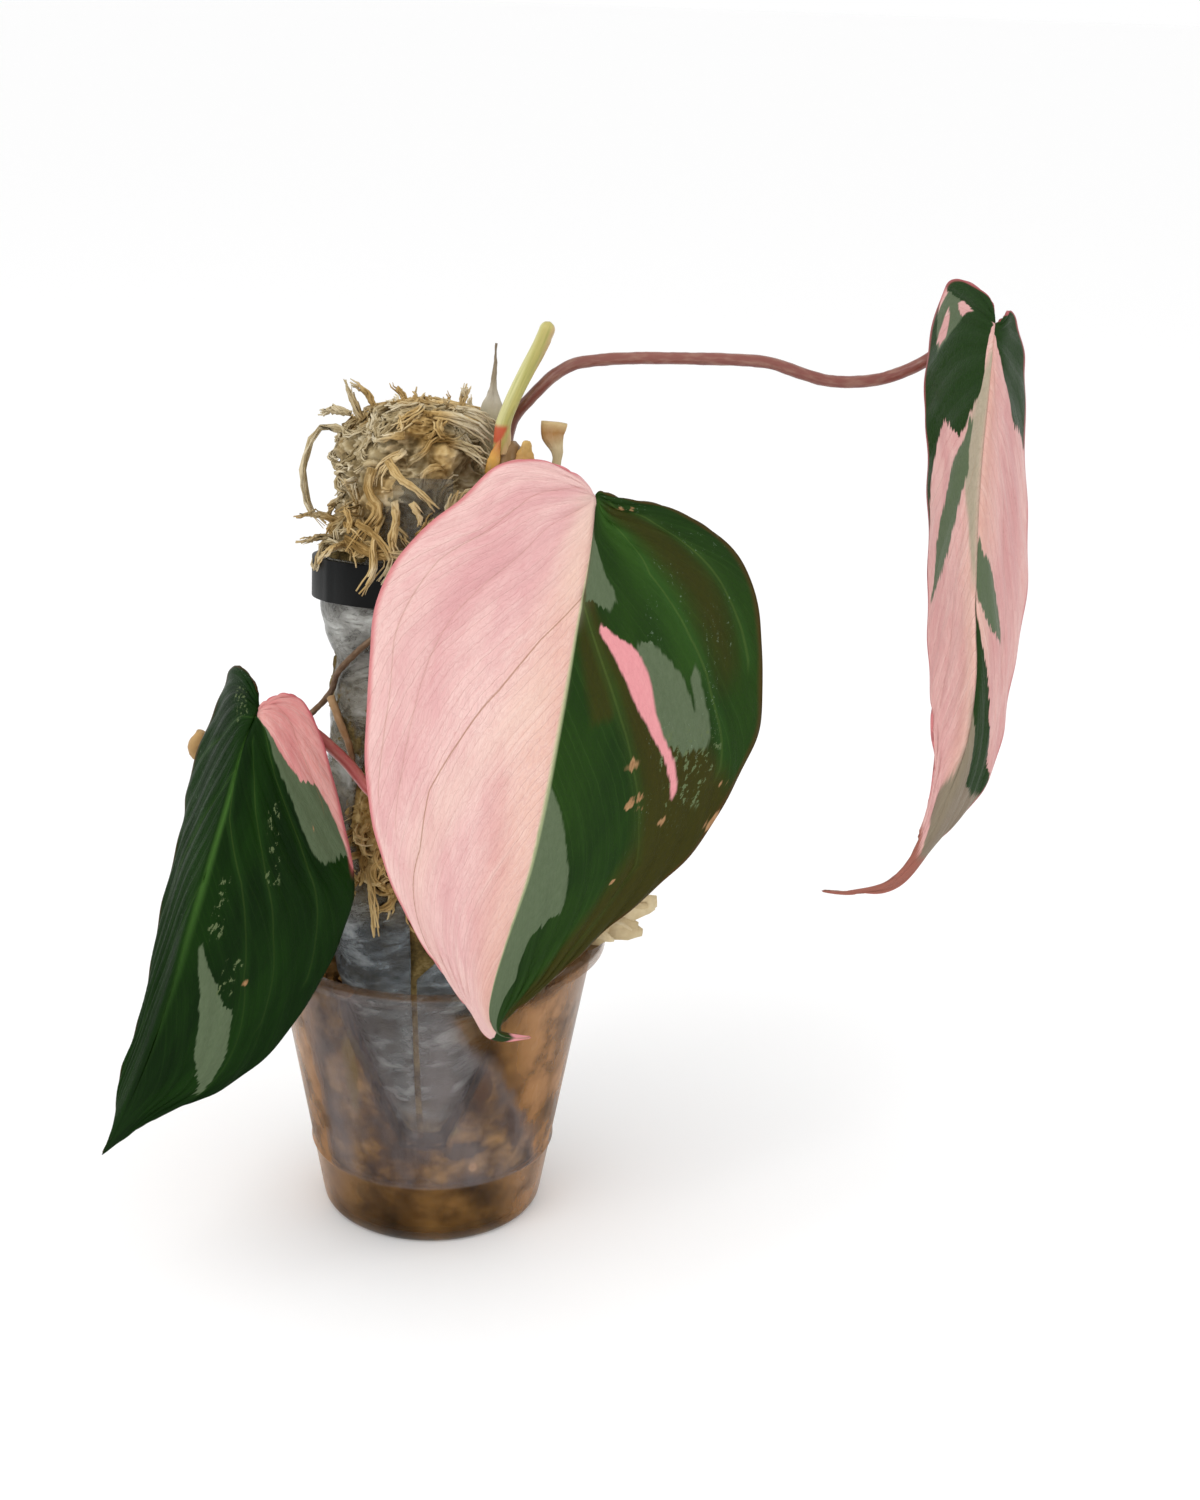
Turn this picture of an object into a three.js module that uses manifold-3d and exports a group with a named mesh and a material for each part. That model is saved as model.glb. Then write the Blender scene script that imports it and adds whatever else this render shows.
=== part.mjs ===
// Micans philodendron with pink, sage and green leaves, climbing a film-wrapped moss pole in a clear pot.
// Millimetres, +Z up. The origin is the middle of the pot's flat underside; the viewer stands at -Y.
import * as THREE from 'three';
import { mergeVertices } from 'three/addons/utils/BufferGeometryUtils.js';
import Module from 'manifold-3d';

const wasm = await Module();
wasm.setup();

// Pot
const potHeight = 86.6;
const potBaseRadius = 30.5;
const potCornerRadius = 32.8;
const potCornerHeight = 3.2;
const potRimRadius = 46.5;
const potRimHeight = 83.2;
const potLipRadius = 50;
const potWall = 1.2;
const potFloor = 1.6;
const mouldedLineHeight = 20;
const mouldedLineStand = 0.5;
const drainHoleCount = 6;
const drainHoleRadius = 3;
const drainHoleCircle = 21;
const potSegments = 40;

// Clearance kept between pieces that touch, and the wider one where a lump could come near
const seatGap = 0.35;

// Substrate
const soilTop = 79.5;
const soilRelief = 1.3;

// Moss pole: sections stand square to an axis that leans back
const poleLean = THREE.MathUtils.degToRad(8.5);
const poleFootY = -27.5;
const footShift = -7.6;
const footShiftEnds = 105;
const filmBottom = 34;
const filmTop = 199;
const filmPatchRise = 23;
const filmWall = 0.7;
const filmProfile = [
  [34, 6], [46, 12], [58, 17], [70, 21.5], [82, 26.3], [92, 28], [104, 28.4], [120, 28.8],
  [140, 29.2], [158, 29.6], [171, 28.3], [184, 32.3],
];
const slitLeftDegrees = [[34, -13], [46, -9], [70, -6.5], [92, -6], [106, -8], [113, -38],
  [126, -48], [140, -42], [153, -24], [165, -12], [184, 11]];
const slitRightDegrees = [[34, 4], [46, -0.5], [70, -2.2], [86, -2.6], [100, 28], [112, 52], [140, 58],
  [184, 62]];
const filmLevels = [34, 48, 62, 76, 92, 106, 113, 126, 140, 153, 171, 184, 199];

// Collar round the film
const ringInnerRadius = 33;
const ringOuterRadius = 34.4;
const ringBottom = 187.5;
const ringTop = 198.8;

// Moss crown
const crownTop = 241;
const crownShiftX = -4.5;
const mossSwell = 2.6;
const crownStrandCount = 40;
const slitStrandCount = 8;

// Stem and stalks
const stemRadius = 2.5;
const petioleRadius = 1.6;
const stalkEndRadius = 1;
const bladeThickness = 0.8;

// Leaves: outlines are flat, seen square to the blade, from the notch where the stalk joins to the tip.
// seat: where the notch stands. yaw and tilt: how the blade's plane faces. fold: how far a margin falls
// behind the midrib, at how far aside of it. slant turns the line about which it folds. arch: how far the
// middle stands forward.
const leafShapes = {
  leaf_front: {
    seat: [43.6, -60, 227.8], yaw: 2, tilt: 11, slant: 9, rows: 22, columns: 5,
    foldLeft: { reach: 50, drop: 7 }, foldRight: { reach: 50, drop: 14 }, foldPower: 1.6,
    arch: 5, tipCurl: -5,
    midrib: [[0, 0], [-1.5, -14.5], [-4, -30.5], [-6.5, -47.5], [-9, -63.5], [-11.5, -78.5], [-14.5, -93],
      [-19, -108], [-22.5, -121], [-23.5, -130], [-20.5, -135.5], [-13, -136.5]],
    left: [[0, 0], [-4.5, 5.5], [-13, 9], [-23.5, 8], [-33.5, -1], [-43, -9], [-50.5, -19.5], [-54, -30.5],
      [-55, -45.5], [-55.5, -63], [-54, -78], [-50.5, -91.5], [-44, -105.5], [-36, -117.5], [-29, -128],
      [-23, -136.5], [-13, -136.5]],
    right: [[0, 0], [1, 2], [6.5, 0.5], [16.5, -1], [28, -6.5], [37, -15], [41.5, -27], [42.5, -41.5],
      [42.5, -56.5], [37, -70.5], [28.5, -85], [17.5, -96.5], [5, -108], [-6, -118.5], [-17, -128],
      [-21, -134], [-13, -136.5]],
  },
  leaf_left: {
    seat: [-42.3, -47, 165.4], yaw: 4, tilt: 15, slant: 15, rows: 20, columns: 4,
    foldLeft: { reach: 15, drop: 32 }, foldRight: { reach: 34, drop: 12 }, foldPower: 1.35,
    arch: 6, tipCurl: -4,
    midrib: [[0, 0], [-3.5, -8], [-8, -25], [-13, -42], [-17.5, -57], [-21, -69.5], [-26.5, -86], [-31.5, -99],
      [-36, -108.5], [-40.5, -117]],
    left: [[0, 0], [-0.5, 6.5], [-5.5, 12], [-9.5, 8.5], [-14, -3], [-19, -19.5], [-21.5, -31.5], [-25, -50.5],
      [-28.5, -68.5], [-32, -85.5], [-36, -98.5], [-37.5, -109], [-40.5, -117]],
    right: [[0, 0], [2, 3], [7, 5.5], [12, 3], [16.5, -6.5], [20.5, -21], [23.5, -36], [24.5, -48], [20.5, -62],
      [13.5, -75], [3, -90], [-9.5, -99.5], [-25, -105.5], [-35, -112.5], [-40.5, -117]],
  },
  leaf_right: {
    seat: [139.6, -40, 270], yaw: -5, tilt: 10, slant: 0, rows: 24, columns: 4,
    foldLeft: { reach: 14, drop: 22 }, foldRight: { reach: 14, drop: 27 }, foldPower: 1.35,
    arch: 4, tipCurl: -3,
    midrib: [[0, 0], [0, -15.5], [-0.5, -31.5], [-0.5, -47.5], [0.5, -69], [2, -87], [1, -104], [-3.5, -120],
      [-8, -132], [-16.5, -141.5], [-25, -144.5], [-32.5, -145]],
    left: [[0, 0], [-1.5, 6.5], [-8, 11.5], [-11.5, 9], [-14.5, -4], [-14.5, -17], [-12.5, -28.5], [-12, -43.5],
      [-10.5, -62], [-9, -79], [-8, -94], [-6.5, -108], [-8, -126.5], [-13.5, -139], [-24, -143.5],
      [-32.5, -145]],
    right: [[0, 0], [2, 2.5], [4.5, 4], [7.5, -3.5], [10.5, -17], [14, -42.5], [15, -66], [13, -87],
      [10.5, -105], [5, -119.5], [-4.5, -130.5], [-13, -141.5], [-24, -145.5], [-32.5, -145]],
  },
};
const midribPower = 1.3;

// Materials
function finish(color, roughness, extra = {}) {
  return new THREE.MeshStandardMaterial({ color, roughness, metalness: 0, ...extra });
}
const clearPlastic = finish(0xdfe3e2, 0.12, { transparent: true, opacity: 0.35 });
const greyFilm = finish(0x8d9291, 0.22, { transparent: true, opacity: 0.6 });
const blackPlastic = finish(0x111214, 0.25);
const barkMix = finish(0x5d4630, 0.9);
const dryMoss = finish(0xb39b6b, 0.95);
const paleMoss = finish(0xd0bb90, 0.95);
const stemSkin = finish(0x5f4a33, 0.6);
const stalkSkin = finish(0x8a4a44, 0.45);
const leafPink = finish(0xe0a6a4, 0.4);
const leafGreen = finish(0x24401f, 0.3);
const leafMixed = finish(0xb9837c, 0.4);
const shootSkin = finish(0xb4b860, 0.4);
const dryHusk = finish(0x8c7458, 0.9);
const rootSkin = finish(0x6d5138, 0.8);

// One value between listed [position, value] pairs
function between(pairs, at) {
  if (at <= pairs[0][0]) return pairs[0][1];
  for (let i = 1; i < pairs.length; i += 1) {
    const [end, value] = pairs[i];
    const [start, before] = pairs[i - 1];
    if (at <= end) return THREE.MathUtils.lerp(before, value, (at - start) / (end - start));
  }
  return pairs.at(-1)[1];
}

const clamp = THREE.MathUtils.clamp;
const smooth = (value, low, high) => THREE.MathUtils.smoothstep(value, low, high);
const toPoint = ([x, y, z]) => new THREE.Vector3(x, y, z);

// Welds equal points, drops faces that have no area and turns the body so that it faces out
function closedBody(points, faces) {
  const seen = new Map();
  const kept = [];
  const index = points.map((point) => {
    const key = [point.x, point.y, point.z].map((value) => Math.round(value * 1e4)).join(' ');
    if (!seen.has(key)) {
      seen.set(key, kept.length);
      kept.push(point);
    }
    return seen.get(key);
  });
  const sides = faces
    .map((face) => face.map((corner) => index[corner]))
    .filter(([a, b, c]) => a !== b && b !== c && a !== c);
  let volume = 0;
  for (const [a, b, c] of sides) volume += kept[a].dot(kept[b].clone().cross(kept[c]));
  const turned = volume < 0 ? sides.map(([a, b, c]) => [a, c, b]) : sides;
  const geometry = new THREE.BufferGeometry();
  const values = kept.flatMap((point) => point.toArray());
  geometry.setAttribute('position', new THREE.Float32BufferAttribute(values, 3));
  geometry.setIndex(turned.flat());
  geometry.computeVertexNormals();
  return geometry;
}

// Joins rings of points into one body, each end closed by a fan; a ring of few points needs no middle one
function loft(rings) {
  const count = rings[0].length;
  const points = rings.flat();
  const faces = [];
  for (let row = 0; row + 1 < rings.length; row += 1) {
    for (let i = 0; i < count; i += 1) {
      const next = (i + 1) % count;
      const above = (row + 1) * count;
      const [a, b, c, d] = [row * count + i, row * count + next, above + i, above + next];
      faces.push([a, b, d], [a, d, c]);
    }
  }
  for (const row of [0, rings.length - 1]) {
    const first = row * count;
    const turn = (b, c) => (row === 0 ? [c, b] : [b, c]);
    if (count <= 6) {
      for (let i = 1; i + 1 < count; i += 1) faces.push([first, ...turn(first + i, first + i + 1)]);
    } else {
      const middle = rings[row].reduce((sum, point) => sum.add(point), new THREE.Vector3());
      points.push(middle.divideScalar(count));
      for (let i = 0; i < count; i += 1) {
        faces.push([points.length - 1, ...turn(first + i, first + ((i + 1) % count))]);
      }
    }
  }
  return closedBody(points, faces);
}

// A body between two grids of points that are split alike, with walls along all four sides
function sheet(front, back) {
  const rows = front.length;
  const columns = front[0].length;
  const points = [...front.flat(), ...back.flat()];
  const shift = rows * columns;
  const at = (row, column) => row * columns + column;
  const faces = [];
  for (let row = 0; row + 1 < rows; row += 1) {
    for (let column = 0; column + 1 < columns; column += 1) {
      const [a, b] = [at(row, column), at(row, column + 1)];
      const [c, d] = [at(row + 1, column), at(row + 1, column + 1)];
      faces.push([a, b, d], [a, d, c]);
      faces.push([a + shift, d + shift, b + shift], [a + shift, c + shift, d + shift]);
    }
  }
  const wall = (p, q) => faces.push([p, q + shift, p + shift], [p, q, q + shift]);
  for (let row = 0; row + 1 < rows; row += 1) {
    wall(at(row, 0), at(row + 1, 0));
    wall(at(row + 1, columns - 1), at(row, columns - 1));
  }
  for (let column = 0; column + 1 < columns; column += 1) {
    wall(at(0, column + 1), at(0, column));
    wall(at(rows - 1, column), at(rows - 1, column + 1));
  }
  return closedBody(points, faces);
}

// A stalk along a smooth path. size(t) gives its two half widths, turn rolls a flat one about its path, and
// grow thickens and lengthens it for the room it needs in a neighbour.
function stalk(path, size, steps, sides, { turn = 0, grow = 0 } = {}) {
  const curve = new THREE.CatmullRomCurve3(path);
  const { normals, binormals, tangents } = curve.computeFrenetFrames(steps);
  const rings = [];
  for (let step = 0; step <= steps; step += 1) {
    const centre = curve.getPointAt(step / steps);
    if (step === 0) centre.addScaledVector(tangents[step], -grow);
    if (step === steps) centre.addScaledVector(tangents[step], grow);
    const [wide, deep] = size(step / steps).map((half) => half + grow);
    const ring = [];
    for (let side = 0; side < sides; side += 1) {
      const angle = (side / sides) * Math.PI * 2;
      const across = wide * Math.cos(angle);
      const along = deep * Math.sin(angle);
      const u = across * Math.cos(turn) - along * Math.sin(turn);
      const v = across * Math.sin(turn) + along * Math.cos(turn);
      ring.push(centre.clone().addScaledVector(normals[step], u).addScaledVector(binormals[step], v));
    }
    rings.push(ring);
  }
  return loft(rings);
}

function toSolid(geometry) {
  const bare = geometry.clone();
  bare.deleteAttribute('normal');
  bare.deleteAttribute('uv');
  const merged = mergeVertices(bare, 1e-4);
  return new wasm.Manifold(new wasm.Mesh({
    numProp: 3,
    vertProperties: new Float32Array(merged.attributes.position.array),
    triVerts: new Uint32Array(merged.index.array),
  }));
}

// The largest body of a solid: scraps that a cut leaves loose are dropped
function toGeometry(solid) {
  const largest = solid.decompose().sort((a, b) => b.volume() - a.volume())[0];
  const mesh = largest.getMesh();
  const geometry = new THREE.BufferGeometry();
  geometry.setAttribute('position', new THREE.Float32BufferAttribute(mesh.vertProperties, 3));
  geometry.setIndex(Array.from(mesh.triVerts));
  geometry.computeVertexNormals();
  return geometry;
}

// Draws the same run of numbers between 0 and 1 each time
function seededDraw(seed) {
  let state = seed;
  return () => {
    state = (state + 0x6d2b79f5) | 0;
    let mixed = Math.imul(state ^ (state >>> 15), 1 | state);
    mixed = (mixed + Math.imul(mixed ^ (mixed >>> 7), 61 | mixed)) ^ mixed;
    return ((mixed ^ (mixed >>> 14)) >>> 0) / 4294967296;
  };
}

// Pot
const potTaper = (potRimRadius - potCornerRadius) / (potRimHeight - potCornerHeight);
const potOuterRadius = (z) => potCornerRadius + (z - potCornerHeight) * potTaper;
const potInnerRadius = (z) => potOuterRadius(z) - potWall;

function potGeometry() {
  const line = mouldedLineHeight;
  const outline = [
    [0, 0], [potBaseRadius, 0], [potCornerRadius - 0.6, 1.2], [potCornerRadius, potCornerHeight],
    [potOuterRadius(line - 0.8), line - 0.8], [potOuterRadius(line) + mouldedLineStand, line],
    [potOuterRadius(line + 0.8), line + 0.8], [potRimRadius, potRimHeight],
    [potLipRadius - 0.5, potRimHeight], [potLipRadius, potRimHeight + 0.6],
    [potLipRadius, potHeight - 0.6], [potLipRadius - 0.6, potHeight],
    [potInnerRadius(potHeight) + 0.7, potHeight], [potInnerRadius(potHeight - 1), potHeight - 1],
    [potInnerRadius(potCornerHeight + 0.9), potCornerHeight + 0.9], [potBaseRadius - 1.6, potFloor],
    [0, potFloor],
  ];
  const body = toSolid(new THREE.LatheGeometry(outline.map(([r, z]) => new THREE.Vector2(r, z)), potSegments)
    .rotateX(Math.PI / 2));
  let pierced = body;
  for (let hole = 0; hole < drainHoleCount; hole += 1) {
    const angle = (hole / drainHoleCount) * Math.PI * 2;
    const cutter = new THREE.CylinderGeometry(drainHoleRadius, drainHoleRadius, 4 * potFloor, 8)
      .rotateX(Math.PI / 2)
      .translate(drainHoleCircle * Math.cos(angle), drainHoleCircle * Math.sin(angle), potFloor / 2);
    pierced = pierced.subtract(toSolid(cutter));
  }
  return toGeometry(pierced);
}

// A point by the pole: height along its axis, turn from the front toward +X in degrees, distance from it
function polePoint(height, degrees, radius, shiftX = 0) {
  const turn = THREE.MathUtils.degToRad(degrees);
  const forward = footShift * clamp((footShiftEnds - height) / (footShiftEnds - filmBottom), 0, 1);
  const depth = forward - radius * Math.cos(turn);
  return new THREE.Vector3(
    shiftX + radius * Math.sin(turn),
    poleFootY + height * Math.sin(poleLean) + depth * Math.cos(poleLean),
    height * Math.cos(poleLean) - depth * Math.sin(poleLean),
  );
}

// Soft folds of the film, held nearly flat in the pot and under the ring
function filmRadius(height, degrees) {
  const turn = THREE.MathUtils.degToRad(degrees);
  const free = (smooth(height, 92, 112) + 0.25) * (1 - smooth(height, 176, 184));
  const folds = 0.55 * Math.sin(5 * turn + height * 0.11) + 0.35 * Math.sin(9 * turn - height * 0.17);
  return between(filmProfile, height) + free * folds;
}

// The film's upper edge stands higher in front, where a flap of it shows above the ring
function filmEdge(degrees) {
  return filmTop + filmPatchRise * smooth(degrees, -34, -14) * (degrees < 90 ? 1 : 0);
}

// grow thickens the film on all sides, for the room it needs in the moss
function filmGeometry(grow = 0) {
  const across = 28;
  const outer = [];
  const inner = [];
  for (const height of filmLevels) {
    const aside = THREE.MathUtils.radToDeg(grow / between(filmProfile, height));
    const from = between(slitRightDegrees, height);
    const to = 360 + between(slitLeftDegrees, height);
    const outerRow = [];
    const innerRow = [];
    for (let i = 0; i <= across; i += 1) {
      const place = THREE.MathUtils.lerp(from, to, i / across);
      const level = height === filmTop ? filmEdge(place - 360 + 2 * aside) : height;
      const radius = filmRadius(level, place);
      const placed = level + (height === filmTop ? grow : 0) - (height === filmBottom ? grow : 0);
      const degrees = place + (i === across ? aside : 0) - (i === 0 ? aside : 0);
      outerRow.push(polePoint(placed, degrees, radius + grow));
      innerRow.push(polePoint(placed, degrees, radius - filmWall - grow));
    }
    outer.push(outerRow);
    inner.push(innerRow);
  }
  return sheet(outer, inner);
}

// The closed hull of the film's foot, opened toward the pot's front wall, for the hole in the substrate
function filmFootHull() {
  const rings = [31, 34, 46, 58, 70, 82, 98].map((height) => {
    const radius = between(filmProfile, height) + 0.6;
    const ring = [];
    for (let i = 0; i <= 16; i += 1) ring.push(polePoint(height, 90 + (i / 16) * 180, radius));
    const reach = polePoint(height, 0, 60);
    ring.push(new THREE.Vector3(-radius, reach.y, reach.z), new THREE.Vector3(radius, reach.y, reach.z));
    return ring;
  });
  return loft(rings);
}

// Collar
function ringGeometry(grow = 0) {
  const outline = [
    [ringInnerRadius - grow, ringBottom - grow], [ringOuterRadius + grow, ringBottom - grow],
    [ringOuterRadius + grow, ringTop + grow], [ringInnerRadius - grow, ringTop + grow],
  ];
  const count = 36;
  const points = [];
  const faces = [];
  for (let i = 0; i < count; i += 1) {
    for (const [radius, height] of outline) points.push(polePoint(height, (i / count) * 360, radius));
    for (let side = 0; side < outline.length; side += 1) {
      const next = (i + 1) % count;
      const after = (side + 1) % outline.length;
      const [a, b] = [i * outline.length + side, next * outline.length + side];
      const [c, d] = [i * outline.length + after, next * outline.length + after];
      faces.push([a, b, d], [a, d, c]);
    }
  }
  return closedBody(points, faces);
}

// Stem: its middle line by world places, from its foot in the substrate to the top node
const stemPath = [
  [23, -17, 40], [27, -22.5, 60], [31, -27, 78], [30.5, -28.5, 92], [26.5, -31.5, 106], [20.5, -33.5, 119],
  [19, -31, 134], [18.2, -28.4, 150], [18.2, -25.8, 166], [18.2, -23.4, 182], [18, -22, 198],
  [19, -21, 212], [19.4, -19.6, 224], [19.8, -18.2, 233.4],
].map(toPoint);
const stemNodes = [[0.4, 0.7], [0.63, 0.8], [0.985, 0.9]];

function stemGeometry(grow = 0) {
  const size = (t) => {
    let radius = stemRadius;
    for (const [place, stand] of stemNodes) radius += stand * Math.exp(-(((t - place) / 0.022) ** 2));
    return [radius, radius];
  };
  return stalk(stemPath, size, 28, 8, { grow });
}

// Leaf blades
function outlinePoint(points, t) {
  return new THREE.SplineCurve(points.map(([a, b]) => new THREE.Vector2(a, b))).getPoint(t);
}

function bladeFrame(shape) {
  const yaw = THREE.MathUtils.degToRad(shape.yaw);
  const tilt = THREE.MathUtils.degToRad(shape.tilt);
  const facing = new THREE.Vector3(Math.sin(yaw), -Math.cos(yaw), 0);
  const up = new THREE.Vector3(0, 0, 1);
  return {
    across: new THREE.Vector3(Math.cos(yaw), Math.sin(yaw), 0),
    along: up.clone().multiplyScalar(Math.cos(tilt)).addScaledVector(facing, -Math.sin(tilt)),
    out: facing.clone().multiplyScalar(Math.cos(tilt)).addScaledVector(up, Math.sin(tilt)),
  };
}

function bladeDepth(shape, aside, u, v) {
  const { reach, drop } = v < 0 ? shape.foldLeft : shape.foldRight;
  const slant = THREE.MathUtils.degToRad(shape.slant);
  const across = aside.dot(new THREE.Vector2(Math.cos(slant), -Math.sin(slant)));
  const distance = Math.max(v < 0 ? -across : across, 0);
  const fallen = drop * (distance / reach) ** shape.foldPower;
  return shape.arch * Math.sin(Math.PI * u) + shape.tipCurl * u ** 6 - fallen;
}

// u runs from notch to tip, v from the left margin (-1) over the midrib (0) to the right margin (1)
function bladePoint(shape, u, v) {
  const { across, along, out } = bladeFrame(shape);
  const middle = outlinePoint(shape.midrib, u ** midribPower);
  const edge = outlinePoint(v < 0 ? shape.left : shape.right, u);
  const aside = edge.sub(middle).multiplyScalar(Math.abs(v));
  return toPoint(shape.seat)
    .addScaledVector(across, middle.x + aside.x)
    .addScaledVector(along, middle.y + aside.y)
    .addScaledVector(out, bladeDepth(shape, aside, u, v));
}

// Normals of a grid of points; where an end row is one point, all of it shares one normal
function gridNormals(grid) {
  const rows = grid.length;
  const columns = grid[0].length;
  const normals = grid.map((row) => row.map(() => new THREE.Vector3()));
  for (let r = 0; r + 1 < rows; r += 1) {
    for (let c = 0; c + 1 < columns; c += 1) {
      const acrossRow = grid[r + 1][c + 1].clone().sub(grid[r][c]);
      const acrossColumn = grid[r + 1][c].clone().sub(grid[r][c + 1]);
      const normal = acrossRow.cross(acrossColumn);
      for (const [i, j] of [[r, c], [r, c + 1], [r + 1, c], [r + 1, c + 1]]) normals[i][j].add(normal);
    }
  }
  for (const row of [0, rows - 1]) {
    const sum = normals[row].reduce((total, normal) => total.add(normal), new THREE.Vector3());
    normals[row] = normals[row].map(() => sum.clone());
  }
  return normals.map((row) => row.map((normal) => normal.normalize()));
}

function leafGeometry(shape) {
  const grid = [];
  for (let row = 0; row <= shape.rows; row += 1) {
    const line = [];
    for (let column = -shape.columns; column <= shape.columns; column += 1) {
      line.push(bladePoint(shape, row / shape.rows, column / shape.columns));
    }
    grid.push(line);
  }
  const normals = gridNormals(grid);
  const moved = (way) => grid.map((row, r) => row.map((point, c) => (
    point.clone().addScaledVector(normals[r][c], (way * bladeThickness) / 2))));
  return sheet(moved(1), moved(-1));
}

// Where a stalk meets the back of its blade: just below the notch, its end clear of the folded halves
function stalkEnd(shape, away) {
  const { out } = bladeFrame(shape);
  const { reach, drop } = shape.foldLeft;
  const fallen = drop * (stalkEndRadius / reach) ** shape.foldPower;
  const clearance = bladeThickness / 2 + seatGap + 0.35 + fallen;
  return bladePoint(shape, 0.045, 0).addScaledVector(out, -clearance - away);
}

const petiolePaths = {
  petiole_front: [[21.5, -28.3, 168.5], [27.5, -34, 180], [35, -41, 199], [41.5, -48.5, 215]],
  petiole_left: [[16.7, -35.8, 121], [7, -42.5, 126], [-6, -41, 135.5], [-14.6, -38.5, 142.6],
    [-20.5, -36.5, 149], [-31, -35.5, 158], [-39.5, -38, 164]],
  petiole_right: [[19.2, -15.2, 234.1], [20, -15.2, 237.2], [21.4, -15.5, 239.8], [24.2, -16, 243.2],
    [27.7, -16.2, 247.1], [31.7, -15.8, 250.8], [36.5, -15, 253.4], [43, -14, 254.5],
    [53.3, -13, 255.2], [69, -11.5, 255.3],
    [79.4, -10.9, 255.3], [87.3, -10.5, 254.7], [95.4, -10, 252.3], [102, -9.7, 250.6], [108.7, -9.5, 250.3],
    [116.5, -9.1, 251.3], [122.9, -8.9, 253.6], [128.7, -9.4, 257], [133.4, -13.6, 262], [136.4, -20, 266]],
};

function petioleGeometry(name, shape, grow = 0) {
  const path = [...petiolePaths[name].map(toPoint), stalkEnd(shape, 7), stalkEnd(shape, 0)];
  const size = (t) => {
    const swollen = petioleRadius * (1 + 0.25 * Math.exp(-((t / 0.06) ** 2)));
    const radius = THREE.MathUtils.lerp(swollen, stalkEndRadius, smooth(t, 0.8, 1));
    return [radius, radius];
  };
  return stalk(path, size, name === 'petiole_right' ? 34 : 16, 6, { grow });
}

// Rolled new growth at the top node, blunt at its tip
const shootPath = [[18.2, -20, 234.3], [18.5, -20.1, 238], [20.6, -20, 244], [24.3, -19.2, 252.1],
  [27.5, -20, 258.7], [30, -21, 264.8]].map(toPoint);
function shootGeometry(grow = 0) {
  const size = (t) => {
    const radius = 2.3 - 0.35 * t - 1.3 * smooth(t, 0.9, 1);
    return [radius, radius];
  };
  return stalk(shootPath, size, 10, 8, { grow });
}

// Pointed dry sheath, its foot in the moss
const sheathPath = [[14.4, -11, 229], [14.6, -10.4, 236], [15.3, -10, 246], [15.7, -10, 257.3]].map(toPoint);
function sheathGeometry(grow = 0) {
  const size = (t) => {
    const wide = 1.5 + 1.4 * Math.sin(Math.PI * clamp(t * 1.5, 0, 1)) ** 2 - 1.25 * smooth(t, 0.55, 1);
    return [wide, 0.7 - 0.35 * t];
  };
  return stalk(sheathPath, size, 10, 6, { grow });
}

// Dry stalk stub whose end flares like a trumpet
const stubPath = [[22.3, -18.6, 215.5], [27.4, -16.4, 218.5], [31.6, -14.6, 224.5], [31.9, -14, 231],
  [30.6, -14, 238]].map(toPoint);
function stubGeometry(grow = 0) {
  const size = (t) => {
    const flare = smooth(t, 0.68, 0.97);
    return [1.25 + 2.6 * flare, 1.25 + 0.5 * flare];
  };
  return stalk(stubPath, size, 12, 6, { turn: Math.PI / 2, grow });
}

// Short bract at the right of the top node
const bractPath = [[23.4, -20.3, 226.5], [25, -20.8, 230], [27, -21.4, 233.2]].map(toPoint);
function bractGeometry(grow = 0) {
  const size = (t) => [1.6 + 0.9 * Math.sin(Math.PI * t) - 0.9 * t, 1.2 - 0.5 * t];
  return stalk(bractPath, size, 6, 6, { grow });
}

// A place on the pole's skin, over the film or the collar, with room for a root of this radius
function skinPoint(height, degrees, radius) {
  const collar = height > ringBottom - 3 && height < ringTop + 3 ? ringOuterRadius : 0;
  return polePoint(height, degrees, Math.max(filmRadius(height, degrees), collar) + radius + seatGap + 0.25);
}

// Aerial roots: the long one crosses the collar and the film, leaves the film and curls behind the left leaf
const rootRadius = 0.85;
const longRootPath = [
  toPoint([16.2, -25.2, 206]),
  ...[[201.5, 12], [196, 1], [187, -11], [181, -23], [175.8, -35.8], [168.6, -53], [161, -71]]
    .map(([height, degrees]) => skinPoint(height, degrees, rootRadius)),
  ...[[-35.4, -8.4, 152], [-43.5, -9, 147], [-54, -11, 142], [-61.6, -13, 140.4], [-65.2, -14, 143.6],
    [-63.4, -14.4, 148.6]].map(toPoint),
];
function longRootGeometry(grow = 0) {
  const size = (t) => {
    const radius = rootRadius + 1.5 * smooth(t, 0.84, 0.93) - 0.9 * smooth(t, 0.96, 1);
    return [radius, radius];
  };
  return stalk(longRootPath, size, 32, 5, { grow });
}

const shortRootRadius = 1.15;
const shortRootPath = [[161, -60], [155, -50], [149.6, -43.5], [144.4, -39.5], [140, -38]]
  .map(([height, degrees]) => skinPoint(height, degrees, shortRootRadius));
function shortRootGeometry(grow = 0) {
  const size = (t) => [shortRootRadius - 0.35 * t, shortRootRadius - 0.35 * t];
  return stalk(shortRootPath, size, 10, 5, { grow });
}

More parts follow.
